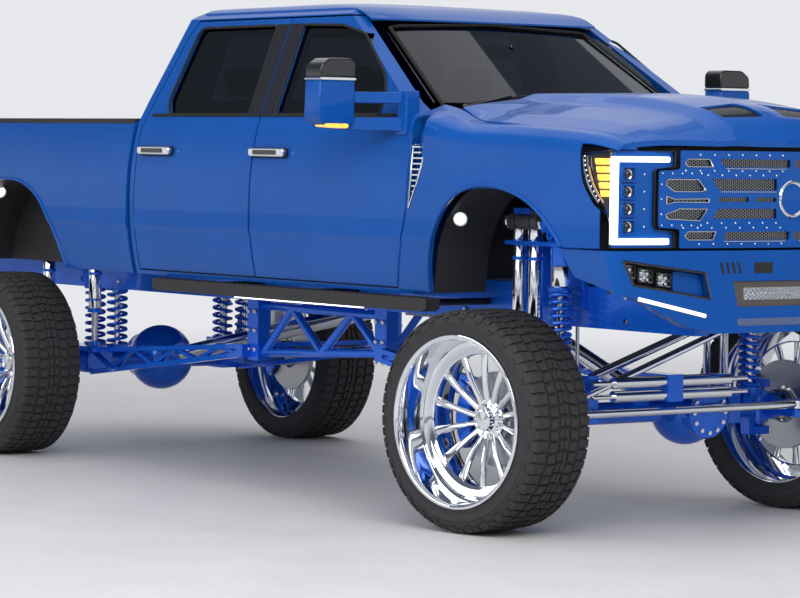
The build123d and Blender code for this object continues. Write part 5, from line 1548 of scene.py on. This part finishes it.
@dataclass
class FrontEnd:
    """Grille plates with mesh, headlamps, and the lamps and trim of the front bumper."""

    grille_outline: tuple = (
        # distance out and height of the right half, from below upwards
        (634, 1311), (634, 1392), (660, 1398), (742, 1400), (747, 1410), (747, 1640),
        (742, 1650), (660, 1652), (634, 1658), (634, 1738),
    )
    long_slots: tuple = (
        ((14, 1667), (395, 1667), (421, 1702), (14, 1702)),
        ((92, 1565), (422, 1565), (465, 1615), (92, 1615)),
        ((92, 1440), (457, 1440), (429, 1484), (92, 1484)),
        ((14, 1347), (396, 1347), (380, 1383), (14, 1383)),
        ((96, 1514), (214, 1514), (214, 1534), (96, 1534)),
        ((253, 1514), (420, 1514), (426, 1534), (253, 1534)),
    )
    trimmed_slots: tuple = (
        ((458, 1668), (596, 1668), (612, 1684), (596, 1701), (480, 1701)),
        ((455, 1348), (590, 1348), (608, 1366), (590, 1384), (439, 1384)),
        ((498, 1566), (530, 1559), (666, 1559), (712, 1588), (703, 1612), (540, 1612)),
        ((528, 1432), (700, 1440), (712, 1458), (640, 1484), (488, 1483)),
        ((480, 1512), (664, 1514), (706, 1503), (706, 1538), (664, 1526), (480, 1528)),
    )
    rivet_rows: tuple = (
        # height, first distance out, last distance out, pitch
        (1720, 60, 600, 78), (1650, 60, 620, 78), (1631, 95, 490, 78), (1421, 95, 490, 78),
        (1400, 70, 620, 78), (1329, 60, 600, 78), (1638, 520, 730, 52), (1411, 520, 730, 52),
        (1590, 732, 733, 10), (1525, 732, 733, 10), (1460, 732, 733, 10),
    )
    lamp_outline: tuple = (
        (664, 1312), (1003, 1312), (1003, 1420), (1014, 1456), (1050, 1477), (1086, 1495),
        (1128, 1540), (1171, 1597), (1197, 1657), (1207, 1699), (1204, 1720), (1150, 1726),
        (1042, 1732), (1000, 1735), (664, 1735), (664, 1668),
        (760, 1656), (770, 1646), (770, 1404), (760, 1392), (664, 1382),
    )
    lamp_bars: tuple = (
        # low and high distance out, low and high height
        (957, 994, 1327, 1709), (690, 965, 1685, 1709), (690, 965, 1327, 1355),
    )
    projector_heights: tuple = (1632, 1557, 1481, 1405)
    pods: tuple = (
        # middle distance out and height of each lamp pod in the bumper
        (892, 1211), (802, 1192), (706, 1172),
    )

    def build(self) -> None:
        """Builds the whole front."""
        self._gap_shade_sheet()
        self._grille()
        self._emblem()
        self._headlamps()
        self._amber()
        self._bumper_pods()
        self._bumper_trim()

    @staticmethod
    def _whole(half: tuple) -> Points:
        """An outline over both sides: the right half, then the left one, mirrored and run back."""
        right = np.asarray(half, float)
        return np.concatenate([right, right[::-1] * (-1, 1)])

    @staticmethod
    def _rivet(mould: Mould, spot: Points, radius: float) -> None:
        """Adds a domed rivet.

        Args:
            mould: the mould that takes it.
            spot: the middle of its foot.
            radius: its radius.
        """
        dome = [(radius, -2), (radius, 0.6), (radius * 0.8, 2.2), (radius * 0.4, 3.3), (0.2, 3.6),
                (0.2, -2)]
        mould.turned(dome, spot, (1, 0, 0), 10)

    @staticmethod
    def _edging(mould: Mould, outline: Points, inset: float, radius: float) -> None:
        """Adds a thin round edge along an outline on the face.

        Args:
            mould: the mould that takes it.
            outline: distances out and heights.
            inset: distance behind the face.
            radius: the edge's radius.
        """
        line = np.asarray(outline, float)
        spots = nose(inset)(line[:, 0], line[:, 1])
        for start, end in zip(spots, np.roll(spots, -1, axis=0)):
            if np.linalg.norm(end - start) > 1:
                mould.tube([start, (start + end) / 2, end], radius, 8, up=(1, 0, 0.01))

    def _gap_shade_sheet(self) -> None:
        """A black sheet behind grille and lamps: painted shade, standing in for the shadowed cavity that
        shows in the gaps.
        """
        sheet = Mould("front_gap_shade_sheet")
        sheet.panel(self._whole([(1004, 1309), (1016, 1500), (1016, 1744), (580, 1752),
                                 (430, 1772), (20, 1778)]), nose(52), 24, (-4, 0, 0))
        sheet.finish(SEAL)

    def _grille(self) -> None:
        """Painted plates with leaning slots, honeycomb behind them, bright edges and rivets."""
        slots = [rounded(slot, 5, 3) for slot in self.long_slots + self.trimmed_slots]
        plate, mesh = Mould("grille_plates"), Mould("grille_mesh")
        plate.panel(rounded(self._whole(self.grille_outline), 6, 3), nose(13), 6.5, (-5, 0, 0),
                    slots + [slot[::-1] * (-1, 1) for slot in slots])
        shell = plate.finish(PAINT)
        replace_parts(shell, "grille")
        edging, rivets = Mould("grille_edging"), Mould("grille_rivets")
        for slot in slots:
            area = rectangle(slot.min(0) - 5, slot.max(0) + 5)
            mesh.add(*honeycomb(area, nose(27), 13, 2.8))
        for slot in self.trimmed_slots:
            self._edging(edging, slot, 11.5, 2.6)
        for out, far, z in ((40, 392, 1661), (40, 396, 1341), (100, 420, 1559)):
            spots = nose(11)(np.linspace(out, far, 12), np.full(12, float(z)))
            edging.tube(spots, 2.4, 8)
        for z, first, last, pitch in self.rivet_rows:
            for spot in nose(13)(*np.broadcast_arrays(np.arange(first, last, pitch), float(z))):
                self._rivet(rivets, spot, 5)
        mesh.both_sides().finish(STEEL)
        edging.both_sides().finish(CHROME)
        rivets.both_sides().finish(CHROME)

    def _emblem(self) -> None:
        """A plain round badge base with nothing on it."""
        spot = (985, 0, 1527)
        ring, disc = Mould("badge_ring"), Mould("badge_disc")
        ring.turned([(66, -22), (84, -22), (84, -8), (80, -3), (74, -2), (69, -6), (66, -10)], spot,
                    (1, 0, 0), 64)
        disc.turned([(68, -22), (68, -9), (50, -6), (24, -4.5), (0.3, -4), (0.3, -22)], spot,
                    (1, 0, 0), 64)
        ring.finish(CHROME)
        disc.finish(PAINT)

    def _headlamps(self) -> None:
        """Painted lamp plates with bright bars, framed projectors and rivets."""
        plate = Mould("headlamp_plates")
        plate.panel(rounded(self.lamp_outline, 8, 3), nose(26), 8, (-4, 0, 0))
        shell = plate.both_sides().finish(PAINT)
        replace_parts(shell, "headlamps")
        rim = Mould("headlamp_rims")
        outline = rounded(self.lamp_outline, 8, 3)
        near, far = nose(8)(*outline.T), nose(27)(*outline.T)
        loop = np.concatenate([near[None], far[None]])
        rim.grid(loop, wrap_columns=True)
        shrink = outline + (outline.mean(0) - outline) * 0.012
        inner = nose(8)(*shrink.T), nose(27)(*shrink.T)
        rim.grid(np.stack([inner[1], inner[0]]), wrap_columns=True)
        rim.grid(np.stack([inner[0], near]), wrap_columns=True)
        rim.grid(np.stack([far, inner[1]]), wrap_columns=True)
        rim.both_sides().finish(GLOSS_BLACK)
        bars = Mould("headlamp_light_bars")
        for low, high, bottom, top in self.lamp_bars:
            bars.panel(rectangle((low, bottom), (high, top), 9), nose(12), 6, (-12, 0, 0))
        bars.both_sides().finish(WHITE_LED, bevel=1.5)
        frames, eyes = Mould("projector_frames"), Mould("projector_eyes")
        bowls = Mould("projector_bowls")
        rivets = Mould("headlamp_rivets")
        for z in self.projector_heights:
            outer = rectangle((862, z - 33), (938, z + 33), 9)
            hole = rectangle((869, z - 26), (931, z + 26), 7)
            frames.panel(outer, nose(15), 6, (-10, 0, 0), [hole])
            spot = nose(20)(900, z)
            bowls.turned([(26, -5), (25, 2), (21, -4), (16, -6), (14, -7), (14, -9), (26, -9)], spot,
                         (0.97, -0.24, 0), 40)
            eyes.turned([(15, -7), (14, 1), (10, 5), (5, 7), (0.2, 7.6), (0.2, -7)], spot,
                        (0.97, -0.24, 0), 32)
            self._rivet(rivets, nose(25)(812, z), 5)
        frames.both_sides().finish(PAINT, bevel=1)
        bowls.both_sides().finish(CHROME)
        eyes.both_sides().finish(GLOSS_BLACK)
        rivets.both_sides().finish(CHROME)

    def _amber(self) -> None:
        """The amber stack on each lamp's outer side and the bright studded strips beyond it."""
        cells, dark = Mould("marker_cells"), Mould("marker_bed")
        for index in range(5):
            low = 1534 + 34.5 * index
            far = 1060 + 11 * index
            cells.panel(rounded([(1004, low), (far, low), (far + 8, low + 28), (1004, low + 28)], 8),
                        nose(12), 6, (-7, 5, 0))
        dark.panel([(999, 1470), (1046, 1482), (1084, 1502), (1124, 1544), (1165, 1600), (1190, 1658),
                    (1200, 1700), (1196, 1714), (999, 1728)], nose(21), 8, (-3, 3, 0))
        strips, studs = Mould("marker_strips"), Mould("marker_studs")
        line = np.array([(1194, 1708), (1184, 1660), (1158, 1604), (1120, 1550), (1076, 1506)], float)
        run = smooth(np.arange(5), line, np.linspace(0, 4, 30))
        for shift in (0, 34):
            strips.tube(nose(14)(run[:, 0] - shift, run[:, 1]), 5, 10, up=(0, 1, 0))
        for s, z in run[::3]:
            spot = nose(9)(s - 17, z)
            studs.turned([(6, -6), (6, 0), (4, 3), (0.2, 4), (0.2, -6)], spot, (0, -1, 0), 10)
        cells.both_sides().finish(AMBER_LED, bevel=1.5)
        dark.both_sides().finish(GLOSS_BLACK)
        strips.both_sides().finish(CHROME)
        studs.both_sides().finish(CHROME)

    def _bumper_pods(self) -> None:
        """Three square lamp pods a side in a black tray with a painted blank beside them."""
        tray, housings = Mould("pod_trays"), Mould("pod_housings")
        reflectors, eyes, blank = Mould("pod_reflectors"), Mould("pod_eyes"), Mould("pod_blanks")
        recess = [(503, 1202), (932, 1257), (878, 1153), (474, 1089)]
        tray.panel(recess, nose(56), 12, (-3, 0, 0))
        for out, z in self.pods:
            lean = 0.13
            square = np.array([(out - 40, z - 31 - 5), (out + 40, z - 31 + 5), (out + 40, z + 31 + 5),
                               (out - 40, z + 31 - 5)], float)
            window = square.mean(0) + (square - square.mean(0)) * 0.84
            housings.panel(rounded(square, 8), nose(22), 6, (-34, 0, 0), [rounded(window, 6)])
            reflectors.panel(rounded(window, 6), nose(40), 6, (-4, 0, 0))
            for across in (-17, 17):
                for rise in (-13, 13):
                    spot = nose(36)(out + across, z + rise + across * lean)
                    eyes.turned([(12, -6), (12, 0), (9, 6), (4, 8), (0.2, 8.6), (0.2, -6)], spot,
                                (1, 0, 0), 20)
        blank.panel(rounded([(484, 1098), (650, 1124), (650, 1212), (508, 1194)], 10), nose(34), 9,
                    (-20, 0, 0))
        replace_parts(housings.both_sides().finish(GLOSS_BLACK, bevel=1.5), "bumper_lamps")
        tray.both_sides().finish(SEAL)
        reflectors.both_sides().finish(REFLECTOR)
        eyes.both_sides().finish(CHROME)
        blank.both_sides().finish(PAINT, bevel=2)
        frame_line = Mould("pod_frames")
        self._edging(frame_line, recess, 1, 6)
        frame_line.both_sides().finish(GLOSS_BLACK)

    def _bumper_trim(self) -> None:
        """Bright strips, slanted slots, and the two light bars in the bumper's middle."""
        strips = Mould("bumper_light_strips")
        run = np.linspace(0, 1, 24)
        spots = nose(1)(855 - 356 * run, 1093 - 79 * run)
        strips.tube(spots, 9, 14)
        strips.both_sides().finish(WARM_LED)
        slots = Mould("bumper_slots")
        for index in range(4):
            out = 300 + index * 32
            slots.panel([(out, 1198), (out + 14, 1198), (out + 28, 1248), (out + 14, 1248)], nose(-0.8),
                        5, (-3, 0, 0))
        slots.panel(rounded([(124, 1199), (226, 1199), (232, 1247), (120, 1247)], 5), nose(-0.8), 6,
                    (-3, 0, 0))
        slots.both_sides().finish(GLOSS_BLACK)
        frame_plate = Mould("light_bar_frame")
        outer = rounded(self._whole([(320, 1050), (352, 1164)]), 10, 3)
        hole = rounded(self._whole([(280, 1078), (286, 1136)]), 6, 3)
        frame_plate.panel(outer, nose(6), 8, (-12, 0, 0), [hole])
        frame_plate.finish(WARM_GREY, bevel=1.5)
        mesh, bowls = Mould("light_bar_mesh"), Mould("light_bar_reflector")
        area = self._whole([(284, 1082), (290, 1132)])
        mesh.add(*honeycomb(area, nose(16), 15, 2.2))
        bowls.panel(self._whole([(290, 1074), (294, 1140)]), nose(28), 12, (-4, 0, 0))
        low = self._whole([(318, 968), (330, 1004)])
        mesh.add(*honeycomb(low, nose(-2), 12, 2.4))
        mesh.finish(CHROME)
        bowls.finish(REFLECTOR)
        bar = Mould("lower_light_bar")
        bar.panel(rounded(self._whole([(330, 962), (340, 1010)]), 8, 3), nose(0.5), 8, (-6, 0, 0))
        bar.finish(REFLECTOR)


def glasshouse(x: Points, z: Points) -> Points:
    """The right side above the window line: a plane that leans in by 190 over 499 of height."""
    x, z = np.broadcast_arrays(np.asarray(x, float), np.asarray(z, float))
    return joined(x, -(941.5 - (z - 1889) * 190 / 499), z)


def screen(t: Points, y: Points, lift: float) -> Points:
    """The windscreen: t runs up from its foot, the surface bows back by y squared over 13000.

    Args:
        t: distance up the screen.
        y: distance to the left.
        lift: distance off the glass.

    Returns:
        Points on the surface.
    """
    t, y = np.broadcast_arrays(np.asarray(t, float), np.asarray(y, float))
    back = lift - y ** 2 / 13000
    (foot_x, foot_z), (along, up) = SCREEN_FOOT, SCREEN_RUN
    return joined(foot_x - along * t + up * back, y, foot_z + up * t + along * back)


@dataclass
class Trim:
    """Mirrors, handles, window seals, wipers, step strips, wheel-well lamps and tail trim."""

    windows: tuple = (
        # door, window outline, belt bar's ends, black pillar's stations
        ("front_door", ((-1770, 1889), (-1770, 2340), (-1420, 2330), (-1210, 2285), (-935, 2082),
                        (-880, 1985), (-880, 1889)), (-1878, -700), (-1772, -1879)),
        ("rear_door", ((-2000, 1889), (-2000, 2340), (-2690, 2340), (-2720, 2306), (-2790, 1960),
                       (-2740, 1889)), (-2900, -1893), (-1893, -1998)),
    )
    handles: tuple = (("front_door", -1728), ("rear_door", -2778))
    handle_z: float = 1701.0
    well_lamps: tuple = ((-300, -893, 1409), (-4625, -884, 1452))

    def build(self) -> None:
        """Builds every trim piece."""
        self._mirror()
        self._handles()
        self._windows()
        self._screen_trim()
        self._steps()
        self._wells()
        self._tail()

    @staticmethod
    def _pair(mould: Mould, finish: Finish, body: str, bevel: float = 0.0) -> None:
        """Finishes a right-hand piece and its mirrored twin, each on its own side's body.

        Args:
            mould: the right-hand piece.
            finish: the finish of both.
            body: the body's name without its side.
            bevel: width of the rounding along edges.
        """
        twin = mould.mirrored(f"{mould.name}_left")
        mould.name = f"{mould.name}_right"
        mould.finish(finish, f"{body}_right", bevel=bevel)
        twin.finish(finish, f"{body}_left", bevel=bevel)

    def _mirror(self) -> None:
        """Tow mirrors: painted shell, black cap, bright band, two glasses and marker strip."""

        def place(out: Points, z: Points, x: float) -> Points:
            """Distance out, height and station to a point."""
            return joined(out * 0 + x, -out, z)

        pieces = (
            ("mirror_shell", PAINT, 10, -922, -796,
             [(1351, 1868), (1343, 2046), (1143, 2046), (1143, 1850), (1176, 1825), (1314, 1833)]),
            ("mirror_cap", GLOSS_BLACK, 12, -923, -795,
             [(1343, 2056), (1338, 2114), (1291, 2148), (1160, 2148), (1141, 2124), (1141, 2056)]),
            ("mirror_band", CHROME, 2, -925, -793,
             [(1346, 2045), (1345, 2057), (1140, 2057), (1140, 2045)]),
            ("mirror_marker", AMBER_LED, 4, -880, -794,
             [(1310, 1826), (1316, 1842), (1180, 1842), (1182, 1820)]),
            ("mirror_glass_frame", SEAL, 3, -930, -920,
             [(1336, 1872), (1328, 2108), (1286, 2134), (1168, 2134), (1154, 2116), (1154, 1856)]),
        )
        for name, finish, bevel, back, front, outline in pieces:
            self._pair(Mould(name).prism(rounded(outline, 12, 3), place, back, front), finish,
                       "front_door", bevel)
        glass = Mould("mirror_glass")
        for outline in ([(1322, 1960), (1317, 2102), (1282, 2122), (1172, 2122), (1166, 2110),
                         (1166, 1960)], [(1324, 1884), (1323, 1944), (1166, 1944), (1166, 1868)]):
            glass.prism(rounded(outline, 14, 4), place, -932.5, -929)
        self._pair(glass, CHROME, "front_door")
        arms, seams = Mould("mirror_arms"), Mould("mirror_arm_seams")
        for z, height in ((1966, 54), (1842, 64)):
            start, end = np.array((-664, -962, z)), np.array((-856, -1146, z))
            arms.bar(start, end, 48, height)
            middle = start + (end - start) * 0.55
            seams.bar(middle, middle + (end - start) * 0.04, 50, height + 2)
        arms.prism([(-700, 1792), (-612, 1792), (-612, 2000), (-664, 2000)], Run.Y.place, -900, -981)
        self._pair(arms, PAINT, "front_door", 8)
        self._pair(seams, GLOSS_BLACK, "front_door", 1)

    def _handles(self) -> None:
        """Bright pull handles over black cups, which are painted shade for the dish round each grip, with
        a dark inlay.
        """
        for body, middle in self.handles:

            def side(x: Points, z: Points, depth: float) -> Points:
                """Station, height and distance out of the middle plane to a point."""
                return joined(x + middle, x * 0 - depth, z + self.handle_z)

            shade_cup, grip, inlay = (Mould(f"{body}_{kind}") for kind in ("shade_cup", "grip", "grip_inlay"))
            # the black cup is painted shade: a thin dark rim round the grip for the shadow in the
            # body-coloured dish
            shade_cup.prism(rectangle((-157, -27), (157, 24), 20), side, 990, 1008)
            grip.prism(rectangle((-155, -21), (155, 21), 18), side, 996, 1024)
            inlay.prism(rectangle((-112, -12), (96, 12), 10), side, 1010, 1025.5)
            self._pair(shade_cup, SEAL, body, 3)
            self._pair(grip, CHROME, body, 6)
            self._pair(inlay, GLOSS_BLACK, body, 0.5)

    def _windows(self) -> None:
        """Rubber seals round the door glass, belt bars and the black pillar plates."""
        for body, window, belt, pillar in self.windows:
            seal = Mould(f"{body}_window_seal")
            line = rounded(window, 30, 5)
            path = glasshouse(*np.concatenate([line, line[:1]]).T)
            seal.tube(path, 7, 10, up=(0, 1, 0))
            ends = glasshouse(np.array(belt, float), np.array([1886, 1886])) - (0, 2, 0)
            seal.bar(ends[0], ends[1], 12, 15)
            self._pair(seal, SEAL, body, 1)
            plate = Mould(f"{body}_pillar_plate")
            low, high = sorted(pillar)
            plate.panel(rectangle((low, 1896), (high, 2346)), glasshouse, 20, (0, 3, 0))
            self._pair(plate.moved(lambda points: points - (0, 1.5, 0)), GLOSS_BLACK, body)

    def _screen_trim(self) -> None:
        """Wipers, the windscreen's rubber edge and the inner mirror."""
        wipers, seal, arm = Mould("wiper_blades"), Mould("windscreen_seal"), Mould("wiper_arms")
        for foot, tip in ((-640, -60), (20, 600)):
            run = np.linspace(foot, tip, 16)
            blade = screen(26 + 70 * (run - foot) / (tip - foot), run, 4)
            wipers.tube(blade, 7, 8)
            reach = np.linspace(foot - 16, (foot + tip) / 2, 8)
            arm.tube(screen(np.linspace(-8, 60, 8), reach, 15), 5.5, 8)
            arm.turned([(17, -20), (17, 10), (10, 15), (0.2, 16), (0.2, -20)],
                       screen(-8, foot - 16, 8), (0.52, 0, 0.85), 20)
        half = 752
        outline = np.array([(4, -half), (770, -616), (776, -560), (780, 0), (776, 560), (770, 616),
                            (4, half), (-2, 640), (-2, -640)], float)
        path = screen(*np.concatenate([outline, outline[:1]]).T, -4)
        seal.tube(path, 9, 8, up=(0.86, 0.05, -0.5))
        wipers.finish(SEAL)
        arm.finish(GLOSS_BLACK)
        seal.finish(SEAL)
        mirror = Mould("inner_mirror")
        mirror.prism(rounded([(-115, 2173), (115, 2173), (122, 2235), (-122, 2235)], 16),
                     Run.X.place, -1132, -1112)
        mirror.bar((-1118, 0, 2225), (-1062, 0, 2242), 18, 18)
        mirror.finish(GLOSS_BLACK, bevel=4)

    def _steps(self) -> None:
        """A light strip on each running board, and its grip ribs."""
        strip, ribs = Mould("step_light_strip"), Mould("step_ribs")
        strip.block((-2030, -998, 968), (-925, -984, 974.5))
        for x in np.arange(-2740, -440, 46):
            ribs.block((x, -1006, 1035), (x + 22, -940, 1040))
        strip.both_sides().finish(WHITE_LED, bevel=1)
        ribs.both_sides().finish(PLASTIC)

    def _wells(self) -> None:
        """A small round lamp in each wheel well."""
        rings, lights = Mould("well_lamp_rings"), Mould("well_lamps")
        axis = np.array((0.8, -0.59, -0.1)) / np.linalg.norm((0.8, -0.59, -0.1))
        for spot in self.well_lamps:
            rings.turned([(36, -16), (36, 4), (32, 9), (24, 9), (24, -16)], spot, axis, 36)
            lights.turned([(24.5, -14), (24, 4), (16, 9), (7, 11), (0.2, 11.4), (0.2, -14)], spot,
                          axis, 32)
        rings.both_sides().finish(CHROME)
        lights.both_sides().finish(WHITE_LED)

    def _tail(self) -> None:
        """Tail lamp frames and bands, tailgate pull and trim, bumper steps and bare plate bay."""
        frames, bands = Mould("tail_lamp_frames"), Mould("tail_lamp_bands")
        for low, high in ((1440, 1452), (1788, 1800), (1556, 1564), (1676, 1684)):
            bands.prism(rectangle((-1003, low), (-874, high)), Run.X.place, -5504.5, -5499)
        frames.prism(rectangle((-1008, 1434), (-866, 1806), 10, 3), Run.X.place, -5499.6, -5498)
        bands.both_sides().finish(GLOSS_BLACK, bevel=1)
        frames.both_sides().finish(RED_LENS)
        plates = (
            # name, low and high corner, corner radius, back and front station, finish, bevel
            ("tailgate_shade_cup", (-170, 1690), (170, 1790), 26, -5504, -5499, SEAL, 2),
            ("tailgate_pull", (-140, 1722), (140, 1772), 20, -5516, -5500, CHROME, 5),
            ("tailgate_panel", (-780, 1400), (780, 1640), 40, -5506, -5499, PAINT, 3),
        )
        for name, low, high, radius, back, front, finish, bevel in plates:
            plate = Mould(name).prism(rectangle(low, high, radius), Run.X.place, back, front)
            plate.finish(finish, "tailgate", bevel=bevel)
        lamp = Mould("high_brake_lamp")
        lamp.prism([(-2780, 2438), (-2826, 2407), (-2832, 2416), (-2788, 2446)], Run.Y.place, -150, 150)
        lamp.finish(RED_LENS, bevel=2)
        cap = Mould("tailgate_cap").block((-5504, -842, 1846), (-5444, 842, 1864))
        cap.finish(PLASTIC, "tailgate", bevel=6)
        steps, plate = Mould("bumper_steps"), Mould("plate_bay")
        for out in (330, 620):
            steps.prism(rounded([(-5596, out), (-5524, out), (-5524, out + 250), (-5600, out + 250)],
                                16), Run.Z.place, 1239, 1244)
        steps.both_sides().finish(PLASTIC, bevel=2)
        plate.prism(rectangle((-190, 1090), (190, 1215), 14), Run.X.place, -5609.5, -5603)
        plate.finish(PLASTIC, bevel=2)


@dataclass
class CargoBox:
    """Ribs of the cargo floor, tie-down rings and the tailgate's inner panel."""

    rib_pitch: float = 118.0

    def build(self) -> None:
        """Builds the cargo box's inner details."""
        ribs, rings, inner = Mould("cargo_ribs"), Mould("tie_down_rings"), Mould("tailgate_liner")
        profile = np.array([(-30, 0), (-22, 9), (22, 9), (30, 0)], float)
        for index in range(-5, 6):
            middle = index * self.rib_pitch
            ribs.prism(profile + (middle, 1325.5), Run.X.place, -5400, -3090)
        for x in (-3200, -5350):
            for y in (-838, 838):
                angle = np.arange(24) * 2 * pi / 24
                path = joined(x + 26 * np.cos(angle), y + 0 * angle, 1420 + 26 * np.sin(angle))
                rings.tube(np.concatenate([path, path[:1]]), 5, 8, up=(0, 1, 0))
        for z in (1420, 1530, 1640, 1750):
            inner.block((-5442, -690, z), (-5436, 690, z + 60))
        ribs.finish(PAINT)
        rings.finish(CHROME)
        inner.finish(PAINT, "tailgate", bevel=2)


@dataclass
class Cabin:
    """Padded seats, the dashboard's fittings and the steering wheel."""

    seats: tuple = (
        # name, middle y, half width, front, back and top stations, head rests
        ("right_seat", -370, 260, -1130, -1640, -1830, (0,)),
        ("left_seat", 370, 260, -1130, -1640, -1830, (0,)),
        ("rear_bench", 0, 640, -2130, -2620, -2800, (-400, 400)),
    )

    def build(self) -> None:
        """Builds the cabin."""
        first = True
        for name, middle, half, front, back, top, heads in self.seats:
            length = front - back
            cushion = self._pad(f"{name}_cushion", ((front + back) / 2, middle, 1392),
                                (length / 2 - 4, half - 4, 82), 4.5, half / 85, 2)
            if first:
                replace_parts(cushion, "seats")
                first = False
            lean = np.degrees(np.arctan2(back - top, 550))
            self._pad(f"{name}_back", ((back + top) / 2 - 52, middle, 1712),
                      (58, half - 6, 272), -lean, half / 85, 0)
            for shift in heads:
                self._pad(f"{name}_head_{'middle' if not shift else 'left' if shift > 0 else 'right'}",
                          (top - 50, middle + shift, 2066), (36, 116, 76), -lean / 2, 1, 0)
            self._frame(name, middle, half, front, back, top, heads)
        self._dashboard()
        self._steering_wheel()

    @staticmethod
    def _pad(name: str, centre: tuple, half: tuple, lean: float, channels: float, top: int
             ) -> bpy.types.Object:
        """A stuffed pad: a rounded block whose coordinates are powers of sines and cosines, with
        crowned faces, sides pulled in, and sewn channels pressed in across its width.

        Args:
            name: the piece's name.
            centre: its middle.
            half: half of its length, width and height.
            lean: degrees that it leans about the cross axis.
            channels: channels in half its width.
            top: the axis of its sitting face, 0 for the front or 2 for the top.

        Returns:
            The pad.
        """
        u = np.linspace(-pi / 2, pi / 2, 41)[:, None]
        v = np.arange(96)[None, :] * 2 * pi / 96

        def power(value: Points, share: float) -> Points:
            """The value's power, its sign kept."""
            return np.sign(value) * np.abs(value) ** share

        unit = joined(power(np.cos(u), 0.32) * power(np.cos(v), 0.32),
                      power(np.cos(u), 0.32) * power(np.sin(v), 0.32), power(np.sin(u), 0.32) + 0 * v)
        face = unit[..., top]
        groove = np.exp(-((np.mod(unit[..., 1] * channels + 0.5, 1) - 0.5) / 0.07) ** 2)
        other = 2 - top
        crown = 1 - 0.10 * np.abs(unit[..., other]) ** 3 - 0.07 * np.abs(unit[..., 1]) ** 3
        dent = np.where(face > 0.4, 0.06 * groove * (1 - np.abs(unit[..., other]) ** 6), 0)
        unit[..., top] = face * crown - dent
        side = 1 - 0.035 * np.abs(unit[..., other]) ** 2
        unit[..., 1] *= side
        local = unit * np.array(half, float)
        turn = radians(lean)
        x = local[..., 0] * cos(turn) + local[..., 2] * sin(turn)
        z = -local[..., 0] * sin(turn) + local[..., 2] * cos(turn)
        grid = joined(x, local[..., 1], z) + np.array(centre, float)
        pad = Mould(name).grid(grid, wrap_columns=True).finish(LEATHER, sharp=70)
        smoothing = pad.modifiers.new("smoothing", "SUBSURF")
        smoothing.levels = smoothing.render_levels = 1
        return pad

    @staticmethod
    def _frame(name: str, middle: float, half: float, front: float, back: float, top: float,
               heads: tuple) -> None:
        """The seat's plinth, back shell and head rest posts.

        Args:
            name: the seat's name.
            middle: its middle's distance to the left.
            half: its half width.
            front: station of the cushion's front.
            back: station where cushion and back meet.
            top: station of the back's top.
            heads: distances of the head rests from the middle.
        """
        plinth, posts = Mould(f"{name}_plinth"), Mould(f"{name}_posts")
        plinth.block((back - 40, middle - half + 30, 1157), (front - 50, middle + half - 30, 1312))
        plinth.prism([(back - 108, 1300), (back - 20, 1300), (top - 62, 1962), (top - 86, 1966)],
                     Run.Y.place, middle - half + 16, middle + half - 16)
        for shift in heads:
            for y in (middle + shift - 60, middle + shift + 60):
                posts.tube([(top - 54, y, 1930), (top - 52, y, 1980), (top - 50, y, 2030)], 7, 12,
                           up=(0, 1, 0))
        plinth.finish(PLASTIC, bevel=8)
        posts.finish(CHROME)

    @staticmethod
    def _dashboard() -> None:
        """Gauge hood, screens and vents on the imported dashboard."""
        hood, glass, slats = Mould("gauge_hood"), Mould("dash_screens"), Mould("dash_vents")
        across = np.linspace(0, pi, 17)
        arch = joined(370 + 180 * np.cos(across), 1842 + 62 * np.sin(across))
        hood.prism(arch, Run.X.place, -912, -760)
        for low, high in (((230, 1752), (510, 1836)), ((-130, 1640), (130, 1790))):
            glass.prism(rectangle(low, high, 12), Run.X.place, -916, -890)
        for middle in (-610, -230, 610):
            for index in range(5):
                z = 1762 + index * 15
                slats.block((-908, middle - 58, z), (-884, middle + 58, z + 6))
        hood.finish(LEATHER, bevel=8)
        glass.finish(GLOSS_BLACK, bevel=2)
        slats.finish(CHROME)

    @staticmethod
    def _steering_wheel() -> None:
        """A leather rim, three spokes and a padded boss, turned about the column."""
        axis = np.array((-0.92, 0, 0.38)) / np.linalg.norm((0.92, 0.38))
        centre = np.array((-1013, 370, 1803))
        side = np.array((0, 1, 0))
        rise = np.cross(side, axis)
        wheel, boss = Mould("steering_rim"), Mould("steering_boss")
        angle = np.arange(20) * 2 * pi / 20
        ring = joined(177 + 12.5 * np.cos(angle), 8 + 12.5 * np.sin(angle))
        wheel.turned(ring, centre, axis, 72)
        boss.turned([(50, -6), (62, 0), (62, 14), (50, 24), (24, 29), (0.2, 30), (0.2, -6)], centre,
                    axis, 48)
        for turn in (pi, 0, -pi / 2):
            out = side * cos(turn) + rise * sin(turn)
            boss.bar(centre + out * 48 + axis * 10, centre + out * 172 + axis * 8, 34, 12, up=axis)
        rim = wheel.finish(LEATHER)
        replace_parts(rim, "steering_wheel")
        boss.bar(centre - axis * 6, np.array((-826, 370, 1724.5)), 46, 46)
        boss.finish(PLASTIC, bevel=3)


def main() -> None:
    """Builds the studio and every sub-assembly in order."""
    logging.basicConfig(level=logging.INFO, format="%(name)s: %(message)s")
    for part in (Studio(), PackedParts(), BodyPanels(), Wheels(), Tyres(), Suspension(),
                 FrontEnd(), Trim(), CargoBox(), Cabin()):
        part.build()
        log.info("%s built", type(part).__name__)


if __name__ == "__main__":
    main()
